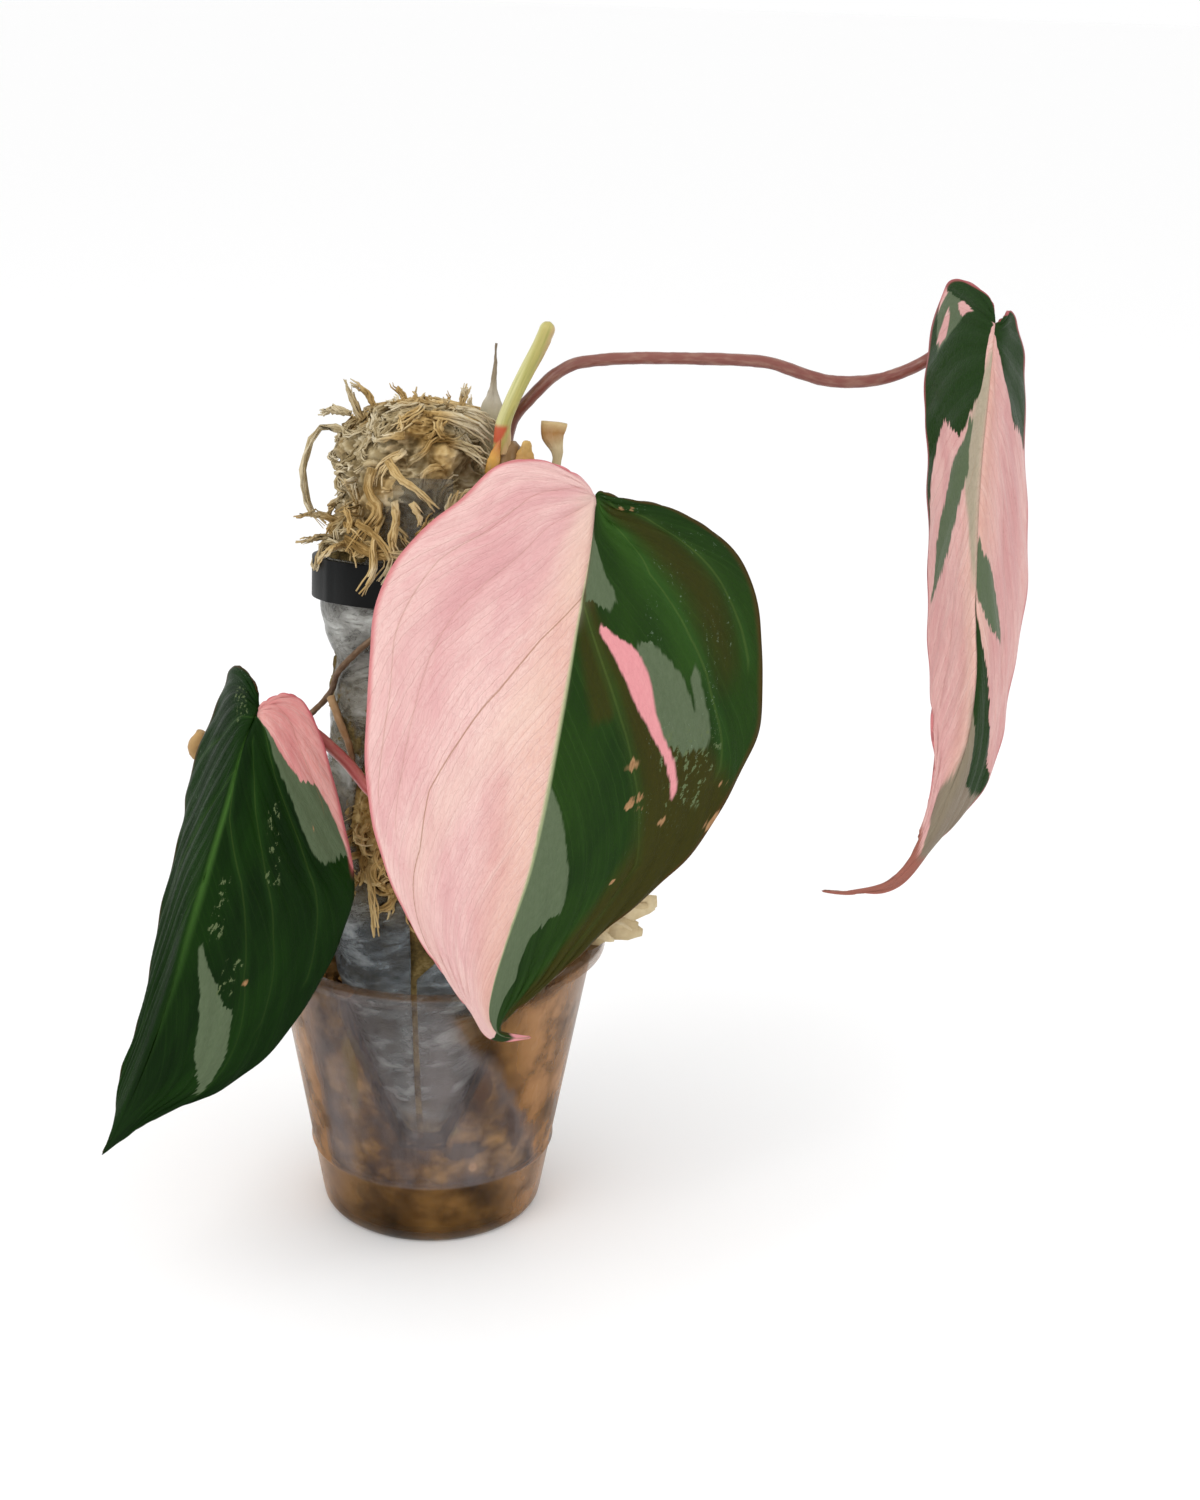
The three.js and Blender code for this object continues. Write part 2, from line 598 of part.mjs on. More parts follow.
// Moss: a column inside the film that swells into the slit, and a lumpy crown above the ring
const crownProfile = [
  [199, 30.8], [204, 30.2], [212, 29.8], [220, 30.4], [228, 30], [234, 27.5], [238.5, 22], [crownTop, 12],
];
function mossRadius(height, degrees) {
  const turn = THREE.MathUtils.degToRad(degrees);
  if (height <= filmTop) {
    const front = degrees > 180 ? degrees - 360 : degrees;
    const left = between(slitLeftDegrees, height);
    const right = between(slitRightDegrees, height);
    const inSlit = smooth(front, left + 4, left + 14) * (1 - smooth(front, right - 14, right - 4));
    const open = smooth(height, 100, 112) * (1 - smooth(height, 176, 184));
    return filmRadius(height, degrees) - filmWall - seatGap - 0.3 + inSlit * open * mossSwell;
  }
  const crown = smooth(height, 200, 210);
  const lumps = 1.5 * Math.sin(3 * turn + height * 0.3) + 1.2 * Math.sin(7 * turn - height * 0.42);
  const leanIn = 7 * smooth(Math.sin(turn), 0.1, 0.9) + 4.5 * smooth(-Math.sin(turn), 0.2, 0.95);
  return between(crownProfile, height) + crown * (lumps - leanIn);
}

// One strand: it leaves the moss at its root, runs aside along it, and its far end stands off
function strandGeometry(root, outward, side, length, width, droop) {
  const path = [];
  for (const t of [-0.2, 0.1, 0.4, 0.7, 1]) {
    path.push(root.clone()
      .addScaledVector(side, length * t)
      .addScaledVector(outward, length * 0.42 * Math.sin(2.3 * t))
      .add(new THREE.Vector3(0, 0, -droop * t * t)));
  }
  return stalk(path, (t) => [width * (1.15 - 0.7 * t), 0.5 - 0.15 * t], 4, 3);
}

// Strands that the outline of the crown and the slit show, by hand: places and half width
const namedStrands = [
  [[[-22, 5, 234], [-24, 6, 238.5], [-25.2, 6, 244]], 1.7],
  [[[-8, 5, 236], [-10.6, 6, 240.5], [-13, 6.4, 243.4]], 1.2],
  [[[5, 1, 236], [6.6, 1.6, 240], [7.2, 2, 244.6]], 1.0],
  [[[-28, 3, 230], [-33.4, 3.6, 231], [-38, 3, 221], [-37.2, 2, 211], [-32.4, 1, 205], [-27, 1, 203]], 1.0],
  [[[-26, -2, 206], [-32.5, -5, 209], [-38.6, -7, 208.5]], 0.9],
  [[[-26, -8, 203], [-31, -13.5, 204.3], [-36.4, -16, 204]], 0.9],
  [[[-24, -12, 203.5], [-27.4, -20.6, 205.2], [-30.2, -27, 201.8]], 1.1],
  [[[-12, -22, 208], [-14.4, -30, 207.6], [-16, -36.4, 202], [-18.8, -37.6, 195.5]], 0.9],
  [[[-14, -30, 122], [-14.6, -37.6, 119.4], [-13.4, -41.4, 112], [-12.6, -43.4, 103.6]], 1.5],
  [[[-18, -26, 126], [-21.4, -32.4, 124], [-20.6, -38, 120.6], [-17.4, -41, 117.4]], 1.2],
  [[[-8, -32, 118], [-6, -39.6, 117.6], [-5, -43.4, 113.4]], 1.3],
];

function mossStrands() {
  const draw = seededDraw(41);
  const strands = [];
  const centre = polePoint(214, 0, 0, crownShiftX);
  for (let i = 0; i < crownStrandCount; i += 1) {
    const height = 204 + 34 * Math.sqrt(draw());
    const degrees = ((i * 137.5) % 360);
    const root = polePoint(height, degrees, mossRadius(height, degrees) - 1.5, crownShiftX);
    const outward = root.clone().sub(centre).normalize();
    const any = new THREE.Vector3(draw() - 0.5, draw() - 0.5, draw() - 0.3);
    const side = any.addScaledVector(outward, -any.dot(outward)).normalize();
    strands.push(strandGeometry(root, outward, side, 9 + 6 * draw(), 1 + 0.7 * draw(), 1 + 3 * draw()));
  }
  for (let i = 0; i < slitStrandCount; i += 1) {
    const height = 108 + 7 * i;
    const left = between(slitLeftDegrees, height);
    const right = between(slitRightDegrees, height);
    const degrees = THREE.MathUtils.lerp(left + 14, right - 14, draw());
    const root = polePoint(height, degrees, mossRadius(height, degrees) - 1.5);
    const outward = root.clone().sub(polePoint(height, 0, 0)).normalize();
    const side = new THREE.Vector3(draw() - 0.5, 0, -1).normalize();
    strands.push(strandGeometry(root, outward, side, 6 + 4 * draw(), 1 + 0.5 * draw(), 1));
  }
  for (const [places, width] of namedStrands) {
    const size = (t) => [width * (1.1 - 0.75 * t), 0.6 - 0.2 * t];
    strands.push(stalk(places.map(toPoint), size, 2 * (places.length - 1), 4));
  }
  return strands;
}

function mossGeometry(neighbours) {
  const count = 28;
  const levels = [filmBottom + 2, ...filmLevels.slice(1), ...crownProfile.slice(1).map(([height]) => height)];
  const rings = levels.map((height) => {
    const ring = [];
    const shiftX = crownShiftX * smooth(height, 200, 208);
    for (let i = 0; i < count; i += 1) {
      const degrees = (i / count) * 360;
      ring.push(polePoint(height, degrees, mossRadius(height, degrees), shiftX));
    }
    return ring;
  });
  let moss = wasm.Manifold.union([toSolid(loft(rings)), ...mossStrands().map(toSolid)]);
  for (const neighbour of neighbours) moss = moss.subtract(toSolid(neighbour));
  return toGeometry(moss);
}

// Substrate: fills the pot, with a rough top and holes for what stands in it
function substrateGeometry(standing) {
  const count = 40;
  const wallGap = seatGap;
  const bottom = potFloor + seatGap;
  const swells = (x, y) => Math.sin(x * 0.31 + 1.3) * Math.cos(y * 0.27);
  const rough = (x, y) => soilRelief * (swells(x, y) + 0.6 * Math.sin(x * 0.71 - y * 0.53));
  const row = (radius, height) => {
    const ring = [];
    for (let i = 0; i < count; i += 1) {
      const angle = (i / count) * Math.PI * 2;
      const [x, y] = [radius * Math.cos(angle), radius * Math.sin(angle)];
      ring.push(new THREE.Vector3(x, y, height(x, y)));
    }
    return ring;
  };
  const flat = (z) => () => z;
  const top = (lift) => (x, y) => soilTop + lift + rough(x, y);
  const rings = [
    row(potBaseRadius - 2.6, flat(bottom)),
    row(potInnerRadius(potCornerHeight + 1) - wallGap - 0.3, flat(potCornerHeight + 1.2)),
    row(potInnerRadius(40) - wallGap, flat(40)),
    row(potInnerRadius(75) - wallGap, flat(75)),
    row(potInnerRadius(75) - wallGap - 1.5, top(-0.6)),
    row(34, top(0.4)), row(24, top(0.8)), row(12, top(0.8)), row(4, top(0.8)),
  ];
  let soil = toSolid(loft(rings)).subtract(toSolid(filmFootHull()));
  for (const piece of standing) soil = soil.subtract(toSolid(piece));
  return toGeometry(soil);
}

// Pale moss, its foot in a hollow of the substrate at the right, that hangs out over the rim
function tuftHill(grow = 0) {
  const count = 10;
  const levels = [[-5, 4.5], [-1.2, 6.6], [1.6, 7.2], [5, 6.6], [9, 4.6], [11.5, 2]];
  return loft(levels.map(([lift, radius], level) => {
    const ring = [];
    for (let i = 0; i < count; i += 1) {
      const angle = (i / count) * Math.PI * 2;
      const lumpy = radius * (1 + 0.12 * Math.sin(3 * angle + lift)) + grow;
      ring.push(new THREE.Vector3(
        36 + lift * 0.4 + 0.75 * lumpy * Math.cos(angle),
        -6 + lumpy * Math.sin(angle),
        83.4 + lift - (level === 0 ? grow : 0),
      ));
    }
    return ring;
  }));
}

function tuftGeometry() {
  const flaps = [
    [[[38, -6, 92], [46, -7, 95.6], [55, -8, 97.6], [63.5, -7, 99]], 3.4, 0.9],
    [[[38, -8, 90], [46, -10, 92.6], [53, -11, 94.4], [60, -11, 93.2]], 2.6, 0.8],
    [[[38, -3, 92], [47, -2, 95.4], [56, -3, 96], [64.5, -4, 94.6]], 2.4, 0.8],
    [[[38, -10, 89], [44.5, -13.5, 92.4], [50, -15.5, 93.6], [55, -16, 92.4]], 1.8, 0.8],
  ].map(([places, wide, deep]) => {
    const size = (t) => [wide * (1 - 0.35 * t ** 3), deep * (1 - 0.3 * t)];
    return stalk(places.map(toPoint), size, 6, 5, { turn: Math.PI / 3 });
  });
  return toGeometry(wasm.Manifold.union([tuftHill(), ...flaps].map(toSolid)));
}

const plant = new THREE.Group();

function add(name, geometry, material) {
  const mesh = new THREE.Mesh(geometry, material);
  mesh.name = name;
  plant.add(mesh);
}

const petiole = (name, leaf, grow) => petioleGeometry(name, leafShapes[leaf], grow);

add('pot', potGeometry(), clearPlastic);
add('substrate', substrateGeometry([stemGeometry(seatGap), tuftHill(seatGap)]), barkMix);
add('pole_film', filmGeometry(), greyFilm);
add('pole_ring', ringGeometry(), blackPlastic);
add('vine_stem', stemGeometry(), stemSkin);
add('leaf_front', leafGeometry(leafShapes.leaf_front), leafPink);
add('leaf_left', leafGeometry(leafShapes.leaf_left), leafGreen);
add('leaf_right', leafGeometry(leafShapes.leaf_right), leafMixed);
add('petiole_front', petiole('petiole_front', 'leaf_front'), stalkSkin);
add('petiole_left', petiole('petiole_left', 'leaf_left'), stalkSkin);
add('petiole_right', petiole('petiole_right', 'leaf_right'), stalkSkin);
add('new_shoot', shootGeometry(), shootSkin);
add('dry_sheath', sheathGeometry(), dryHusk);
add('dry_stub', stubGeometry(), dryHusk);
add('bract_stub', bractGeometry(), dryHusk);
add('aerial_root_long', longRootGeometry(), rootSkin);
add('aerial_root_short', shortRootGeometry(), rootSkin);
add('moss_tuft_right', tuftGeometry(), paleMoss);
add('sphagnum_moss', mossGeometry([
  filmGeometry(seatGap), ringGeometry(seatGap), stemGeometry(seatGap), shootGeometry(seatGap),
  sheathGeometry(seatGap), stubGeometry(seatGap), bractGeometry(seatGap), longRootGeometry(seatGap),
  shortRootGeometry(seatGap), petiole('petiole_front', 'leaf_front', seatGap),
  petiole('petiole_left', 'leaf_left', seatGap), petiole('petiole_right', 'leaf_right', seatGap),
]), dryMoss);

export default plant;
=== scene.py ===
import math
import random
import bpy
from mathutils import Matrix, Quaternion, Vector, noise


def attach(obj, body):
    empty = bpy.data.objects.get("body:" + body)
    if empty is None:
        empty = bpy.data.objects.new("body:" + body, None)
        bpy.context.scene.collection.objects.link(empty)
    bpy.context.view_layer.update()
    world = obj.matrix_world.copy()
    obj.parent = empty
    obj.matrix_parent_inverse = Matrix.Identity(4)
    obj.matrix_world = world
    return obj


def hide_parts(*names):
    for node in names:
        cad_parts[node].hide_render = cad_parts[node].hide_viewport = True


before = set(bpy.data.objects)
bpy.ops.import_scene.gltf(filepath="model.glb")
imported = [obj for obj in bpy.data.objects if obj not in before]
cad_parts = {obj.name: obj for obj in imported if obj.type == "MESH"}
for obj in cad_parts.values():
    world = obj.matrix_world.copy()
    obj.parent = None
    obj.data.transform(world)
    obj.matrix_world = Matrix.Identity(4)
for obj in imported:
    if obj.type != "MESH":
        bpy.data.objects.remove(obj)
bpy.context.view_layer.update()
mm = 0.001  # lists below are in millimetres


def tint(red, green, blue):
    # a colour as it looks on a screen, 0 to 255, made linear
    return tuple((part / 255) ** 2.2 for part in (red, green, blue)) + (1,)


def rising(value, low, high):
    t = min(max((value - low) / (high - low), 0), 1)
    return t * t * (3 - 2 * t)


def between(pairs, at):
    # one value between listed (position, value) pairs
    for (start, before), (end, value) in zip(pairs, pairs[1:]):
        if at <= end:
            return before + (value - before) * max(at - start, 0) / (end - start)
    return pairs[-1][1]


# materials
class Wire:
    # a socket that sums can be written with
    def __init__(self, paint, socket):
        self.paint = paint
        self.socket = socket

    def maths(self, operation, *others):
        return self.paint.node("ShaderNodeMath", {"operation": operation}, dict(enumerate((self,) + others)))

    def __add__(self, other):
        return self.maths("ADD", other)

    __radd__ = __add__

    def __sub__(self, other):
        return self.maths("SUBTRACT", other)

    def __rsub__(self, other):
        return self.paint.node("ShaderNodeMath", {"operation": "SUBTRACT"}, {0: other, 1: self})

    def __mul__(self, other):
        return self.maths("MULTIPLY", other)

    __rmul__ = __mul__

    def __pow__(self, other):
        return self.maths("POWER", other)

    def __abs__(self):
        return self.maths("ABSOLUTE")


class Paint:
    # one material and the nodes in it
    def __init__(self, name):
        self.material = bpy.data.materials.new(name)
        self.material.use_nodes = True
        self.tree = self.material.node_tree
        self.shader = self.tree.nodes["Principled BSDF"]

    def join(self, socket, value):
        if isinstance(value, Wire):
            self.tree.links.new(value.socket, socket)
        else:
            socket.default_value = value

    def node(self, kind, settings=None, inputs=None, output=0):
        made = self.tree.nodes.new(kind)
        for key, value in (settings or {}).items():
            if key == "stops":
                stops = made.color_ramp.elements
                stops.remove(stops[1])
                stops[0].position, stops[0].color = value[0]
                for place, colour in value[1:]:
                    stops.new(place).color = colour
            else:
                setattr(made, key, value)
        for key, value in (inputs or {}).items():
            self.join(made.inputs[key], value)
        return Wire(self, made.outputs[output])

    def coordinates(self, kind):
        return self.node("ShaderNodeTexCoord", output=kind)

    def split(self, vector):
        first = self.node("ShaderNodeSeparateXYZ", None, {0: vector})
        return [Wire(self, socket) for socket in first.socket.node.outputs]

    def gather(self, x, y, z=0.0):
        return self.node("ShaderNodeCombineXYZ", None, {0: x, 1: y, 2: z})

    def stretched(self, vector, scale):
        return self.node("ShaderNodeMapping", None, {"Vector": vector, "Scale": scale})

    def speckle(self, vector, scale, detail=3.0, roughness=0.5, distortion=0.0):
        return self.node("ShaderNodeTexNoise", None, {
            "Vector": vector, "Scale": scale, "Detail": detail, "Roughness": roughness, "Distortion": distortion})

    def cells(self, vector, scale, feature="F1"):
        return self.node("ShaderNodeTexVoronoi", {"feature": feature}, {"Vector": vector, "Scale": scale})

    def rise(self, value, low, high):
        # 0 at low and 1 at high, smoothly
        return self.node("ShaderNodeMapRange", {"interpolation_type": "SMOOTHSTEP"}, {
            "Value": value, "From Min": low, "From Max": high})

    def ramp(self, value, stops):
        return self.node("ShaderNodeValToRGB", {"stops": stops}, {0: value})

    def blend(self, factor, first, second):
        return self.node("ShaderNodeMix", {"data_type": "RGBA"}, {0: factor, 6: first, 7: second}, 2)

    def bump(self, height, distance, strength=1.0, under=None):
        inputs = {"Height": height, "Distance": distance, "Strength": strength}
        if under:
            inputs["Normal"] = under
        return self.node("ShaderNodeBump", None, inputs)

    def dress(self, inputs):
        for key, value in inputs.items():
            self.join(self.shader.inputs[key], value)
        return self.material


# meshes
def deselect():
    bpy.ops.object.select_all(action="DESELECT")


def select(piece):
    deselect()
    piece.select_set(True)
    bpy.context.view_layer.objects.active = piece


def addGrid(name, across, along, place):
    # a grid primitive whose points go where place(s, t) says, s across and t along, both 0 to 1
    deselect()
    bpy.ops.mesh.primitive_grid_add(x_subdivisions=across, y_subdivisions=along, size=1, location=(0, 0, 0))
    piece = bpy.context.object
    piece.name = piece.data.name = name
    for vertex in piece.data.vertices:
        vertex.co = place(vertex.co.x + 0.5, vertex.co.y + 0.5) * mm
    piece.data.update()
    return piece


def closeGrid(piece):
    # joins the two long sides of a rolled grid and fills its ends
    select(piece)
    bpy.ops.object.mode_set(mode="EDIT")
    bpy.ops.mesh.select_all(action="SELECT")
    bpy.ops.mesh.remove_doubles(threshold=1e-6)
    bpy.ops.mesh.fill_holes(sides=0)
    bpy.ops.mesh.select_all(action="SELECT")
    bpy.ops.mesh.normals_make_consistent(inside=False)
    bpy.ops.object.mode_set(mode="OBJECT")


def addModifier(piece, kind, settings):
    modifier = piece.modifiers.new(kind, kind)
    for key, value in settings.items():
        setattr(modifier, key, value)
    select(piece)
    bpy.ops.object.modifier_apply(modifier=modifier.name)


def finishPiece(piece, node, material, angle=None):
    select(piece)
    if angle:
        bpy.ops.object.shade_smooth_by_angle(angle=math.radians(angle))
    else:
        bpy.ops.object.shade_smooth()
    if material:
        piece.data.materials.clear()
        piece.data.materials.append(material)
    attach(piece, "root")
    if node:
        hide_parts(node)
    return piece


def splineAt(points, t):
    place = (len(points) - 1) * min(max(t, 0), 1)
    i = min(int(place), len(points) - 2)
    w = place - i
    a, b = points[max(i - 1, 0)], points[i]
    c, d = points[i + 1], points[min(i + 2, len(points) - 1)]
    return [0.5 * (2 * b[k] + (c[k] - a[k]) * w + (2 * a[k] - 5 * b[k] + 4 * c[k] - d[k]) * w * w
                   + (3 * b[k] - a[k] - 3 * c[k] + d[k]) * w ** 3) for k in range(len(b))]


def evenPath(places, steps):
    # evenly spaced points of a smooth line through the places
    places = [Vector(place) for place in places]
    ends = [2 * places[0] - places[1]] + places + [2 * places[-1] - places[-2]]
    dense = []
    for i in range(len(places) - 1):
        p = ends[i:i + 4]
        gaps = [max((p[k + 1] - p[k]).length ** 0.5, 1e-3) for k in range(3)]
        leave = ((p[1] - p[0]) / gaps[0] - (p[2] - p[0]) / (gaps[0] + gaps[1]) + (p[2] - p[1]) / gaps[1]) * gaps[1]
        reach = ((p[2] - p[1]) / gaps[1] - (p[3] - p[1]) / (gaps[1] + gaps[2]) + (p[3] - p[2]) / gaps[2]) * gaps[1]
        for k in range(40 if i < len(places) - 2 else 41):
            w = k / 40
            dense.append(p[1] + leave * w + (3 * (p[2] - p[1]) - 2 * leave - reach) * w ** 2
                         + (2 * (p[1] - p[2]) + leave + reach) * w ** 3)
    lengths = [0]
    for a, b in zip(dense, dense[1:]):
        lengths.append(lengths[-1] + (b - a).length)
    even, j = [], 0
    for step in range(steps + 1):
        want = lengths[-1] * step / steps
        while j < len(dense) - 2 and lengths[j + 1] < want:
            j += 1
        even.append(dense[j].lerp(dense[j + 1], (want - lengths[j]) / max(lengths[j + 1] - lengths[j], 1e-9)))
    return even


def framesAlong(points):
    # tangent, normal and binormal at each point, carried along without twisting
    tangents = [(points[min(i + 1, len(points) - 1)] - points[max(i - 1, 0)]).normalized()
                for i in range(len(points))]
    least = min(range(3), key=lambda k: (abs(tangents[0][k]), -k))
    aside = tangents[0].cross(Vector([k == least for k in range(3)])).normalized()
    normal = tangents[0].cross(aside)
    frames = []
    for i, tangent in enumerate(tangents):
        if i:
            normal = tangents[i - 1].rotation_difference(tangent) @ normal
        frames.append((tangent, normal, tangent.cross(normal)))
    return frames


def rollTube(name, path, size, steps, sides, turn=0, relief=None):
    # a closed stalk along a path; size(t) gives its two half widths and relief(angle, t) moves its skin out
    centres = evenPath(path, steps)
    frames = framesAlong(centres)

    def place(s, t):
        step = round(t * steps)
        angle = s * 2 * math.pi
        wide, deep = size(t)
        stand = relief(angle, t) if relief else 0
        across, along = (wide + stand) * math.cos(angle), (deep + stand) * math.sin(angle)
        u = across * math.cos(turn) - along * math.sin(turn)
        v = across * math.sin(turn) + along * math.cos(turn)
        return centres[step] + frames[step][1] * u + frames[step][2] * v

    piece = addGrid(name, sides, steps, place)
    closeGrid(piece)
    return piece


# camera, floor and light
view = {"focal": 51.19, "film": 36, "place": (0.0465, -0.570, 0.342), "down": 19.3, "roll": 2.0}
turned = Matrix.Rotation(math.radians(90 - view["down"]), 4, "X") @ Matrix.Rotation(math.radians(view["roll"]), 4, "Z")
bpy.ops.object.camera_add(location=view["place"], rotation=turned.to_euler())
camera = bpy.context.object
camera.data.lens = view["focal"]
camera.data.sensor_fit = "VERTICAL"
camera.data.sensor_height = view["film"]
camera.data.clip_start = 0.01
bpy.context.scene.camera = camera
bpy.context.scene.view_settings.view_transform = "Standard"

studio = {"floorSize": 600, "floorTint": tint(253, 253, 253), "sky": 1.0, "key": 5.0, "fill": 1.0}
bpy.ops.mesh.primitive_plane_add(size=studio["floorSize"], location=(0, 0, -0.0002))
floor = bpy.context.object
floor.name = "studioFloor"
floorPaint = Paint("paleFloor")
floor.data.materials.append(floorPaint.dress({"Base Color": studio["floorTint"], "Roughness": 0.9}))

world = bpy.data.worlds.new("softRoom")
bpy.context.scene.world = world
world.use_nodes = True
world.node_tree.nodes["Background"].inputs["Color"].default_value = (1, 1, 1, 1)
world.node_tree.nodes["Background"].inputs["Strength"].default_value = studio["sky"]


def addLamp(name, place, target, size, power):
    bpy.ops.object.light_add(type="AREA", location=place)
    lamp = bpy.context.object
    lamp.name = name
    lamp.rotation_euler = (Vector(target) - Vector(place)).to_track_quat("-Z", "Y").to_euler()
    lamp.data.size = size
    lamp.data.energy = power


addLamp("keyLamp", (-0.55, -0.75, 1.15), (0, 0, 0.15), 0.7, studio["key"])
addLamp("fillLamp", (0.9, -0.6, 0.7), (0.03, 0, 0.15), 0.9, studio["fill"])
print("camera, floor and light made")

# pot
pot = {
    "sides": 144, "wall": 1.2, "floor": 1.6, "base": 30.5, "corner": (32.8, 3.2), "rim": (46.5, 83.2),
    "lip": 50, "height": 86.6, "line": 20, "lineStand": 0.5, "holes": 6, "hole": 3, "holeCircle": 21,
}


def potRadius(z):
    (cornerRadius, cornerHeight), (rimRadius, rimHeight) = pot["corner"], pot["rim"]
    return cornerRadius + (z - cornerHeight) * (rimRadius - cornerRadius) / (rimHeight - cornerHeight)


def makePot():
    inner = lambda z: potRadius(z) - pot["wall"]
    line, top = pot["line"], pot["height"]
    outline = [
        (31.6, 0.35), (32.4, 1.5), (32.8, 3.2), (potRadius(line - 1), line - 1),
        (potRadius(line - 0.4) + 0.4, line - 0.4), (potRadius(line) + pot["lineStand"], line),
        (potRadius(line + 0.4) + 0.4, line + 0.4), (potRadius(line + 1), line + 1),
        (potRadius(82.4), 82.4), (46.9, 83.1), (49.4, 83.2), (49.9, 83.5), (50, 84.0), (50, 85.8), (49.8, 86.4),
        (49.3, 86.6), (inner(top) + 0.8, top), (inner(top) + 0.2, top - 0.3), (inner(top - 1), top - 1),
        (inner(40), 40), (inner(5), 5), (31.0, 2.6), (30.0, 1.9), (28.9, 1.6),
    ]
    deselect()
    bpy.ops.mesh.primitive_circle_add(vertices=pot["sides"], radius=pot["base"] * mm, location=(0, 0, 0))
    piece = bpy.context.object
    piece.name = "clearPot"
    bpy.ops.object.mode_set(mode="EDIT")
    bpy.ops.mesh.select_all(action="SELECT")
    radius, height = pot["base"], 0
    for nextRadius, nextHeight in outline:
        bpy.ops.mesh.extrude_edges_move(TRANSFORM_OT_translate={"value": (0, 0, (nextHeight - height) * mm)})
        ratio = nextRadius / radius
        bpy.ops.transform.resize(value=(ratio, ratio, 1), center_override=(0, 0, 0))
        radius, height = nextRadius, nextHeight
    bpy.ops.mesh.fill_holes(sides=0)
    bpy.ops.mesh.select_all(action="SELECT")
    bpy.ops.mesh.fill_holes(sides=0)
    bpy.ops.mesh.select_all(action="SELECT")
    bpy.ops.mesh.normals_make_consistent(inside=False)
    bpy.ops.object.mode_set(mode="OBJECT")
    cutters = []
    for i in range(pot["holes"]):
        angle = i / pot["holes"] * 2 * math.pi
        circle = pot["holeCircle"] * mm
        bpy.ops.mesh.primitive_cylinder_add(
            vertices=24, radius=pot["hole"] * mm, depth=8 * mm,
            location=(circle * math.cos(angle), circle * math.sin(angle), 0.8 * mm))
        cutters.append(bpy.context.object)
    for cutter in cutters:
        addModifier(piece, "BOOLEAN", {"operation": "DIFFERENCE", "object": cutter, "solver": "EXACT"})
        bpy.data.objects.remove(cutter)
    return piece


def paintPlastic():
    paint = Paint("clearPlastic")
    spots = paint.coordinates("Object")
    x, y, z = paint.split(spots)
    degrees = x.maths("ARCTAN2", 0 - y) * (180 / math.pi)
    haze = paint.speckle(paint.stretched(spots, (60, 60, 26)), 1.0, 4.0, 0.6)
    broad = paint.speckle(spots, 70.0, 4.0, 0.6)
    scuffs = paint.speckle(paint.stretched(spots, (900, 900, 40)), 1.0, 2.0)
    # moisture clouds the front above the moulded line, and soil sticks to the wall all round it
    ragged = (haze - 0.5) * 34 + (broad - 0.5) * 20
    rightEnd = 84 - z * 900
    window = paint.rise(degrees + ragged, -50, -38) * (1 - paint.rise(degrees + ragged - rightEnd, -8, 4))
    window = window * paint.rise(z, 0.0196, 0.0206)
    aside = paint.rise(abs(degrees), 44, 58)
    stuck = (1 - window) * (1 - paint.rise(z + (broad - 0.5) * 0.008, 0.077, 0.081) * (1 - aside))
    stuck = stuck * (1 - paint.rise(z, 0.0828, 0.0834) * 0.6)
    sides = paint.rise(abs(x), 0.018, 0.034) * paint.rise(broad, 0.15, 0.6)
    rim = paint.rise(z, 0.0856, 0.0864)
    line = 1 - paint.rise(abs(z - 0.02), 0.0003, 0.001)
    body = 0.03 + window * (0.05 + paint.rise(haze, 0.35, 0.75) * 0.2) + stuck * (0.42 + sides * 0.45)
    body = body + rim * 0.45 + line * 0.12
    soiled = paint.ramp(broad, [
        (0.35, tint(52, 34, 12)), (0.5, tint(94, 66, 32)), (0.65, tint(136, 98, 52))])
    dusty = paint.blend(paint.rise(haze, 0.35, 0.6), tint(132, 92, 52), tint(172, 126, 84))
    soiled = paint.blend(sides * 0.9, soiled, dusty)
    damp = paint.blend(haze, tint(112, 102, 100), tint(170, 160, 160))
    colour = paint.blend(rim, paint.blend(window, soiled, damp), tint(96, 70, 42))
    paint.dress({
        "Base Color": colour, "Roughness": 0.2 + 0.12 * haze,
        "Normal": paint.bump(scuffs + haze * 2, 0.0002, 0.25), "IOR": 1.46, "Specular IOR Level": 0.1,
    })
    clear = paint.node("ShaderNodeBsdfTransparent", None, {"Color": (0.99, 0.98, 0.965, 1)})
    hazy = paint.node("ShaderNodeMixShader", None, {0: body, 1: clear, 2: Wire(paint, paint.shader.outputs[0])})
    gloss = paint.node("ShaderNodeBsdfAnisotropic", None, {"Color": (1, 1, 1, 1), "Roughness": 0.08})
    facing = paint.node("ShaderNodeLayerWeight", None, {"Blend": 0.5}, "Facing")
    surface = paint.node("ShaderNodeMixShader", None, {0: facing ** 5 * 0.12 + 0.002, 1: hazy, 2: gloss})
    paint.join(paint.tree.nodes["Material Output"].inputs["Surface"], surface)
    return paint.material


finishPiece(makePot(), "pot", paintPlastic(), 40)
print("pot made")

# the pole's own coordinates
pole = {
    "lean": math.radians(8.5), "footY": -27.5, "footShift": -7.6, "shiftEnds": 105, "bottom": 34, "top": 199,
    "patch": 23, "wall": 0.7,
    "profile": [(34, 6), (46, 12), (58, 17), (70, 21.5), (82, 26.3), (92, 28), (104, 28.4), (120, 28.8),
                (140, 29.2), (158, 29.6), (171, 28.3), (184, 32.3)],
    "slitLeft": [(34, -13), (46, -9), (70, -6.5), (92, -6), (106, -8), (113, -38), (126, -48), (140, -42),
                 (153, -24), (165, -12), (184, 11)],
    "slitRight": [(34, 4), (46, -0.5), (70, -2.2), (86, -2.6), (100, 28), (112, 52), (140, 58), (184, 62)],
}


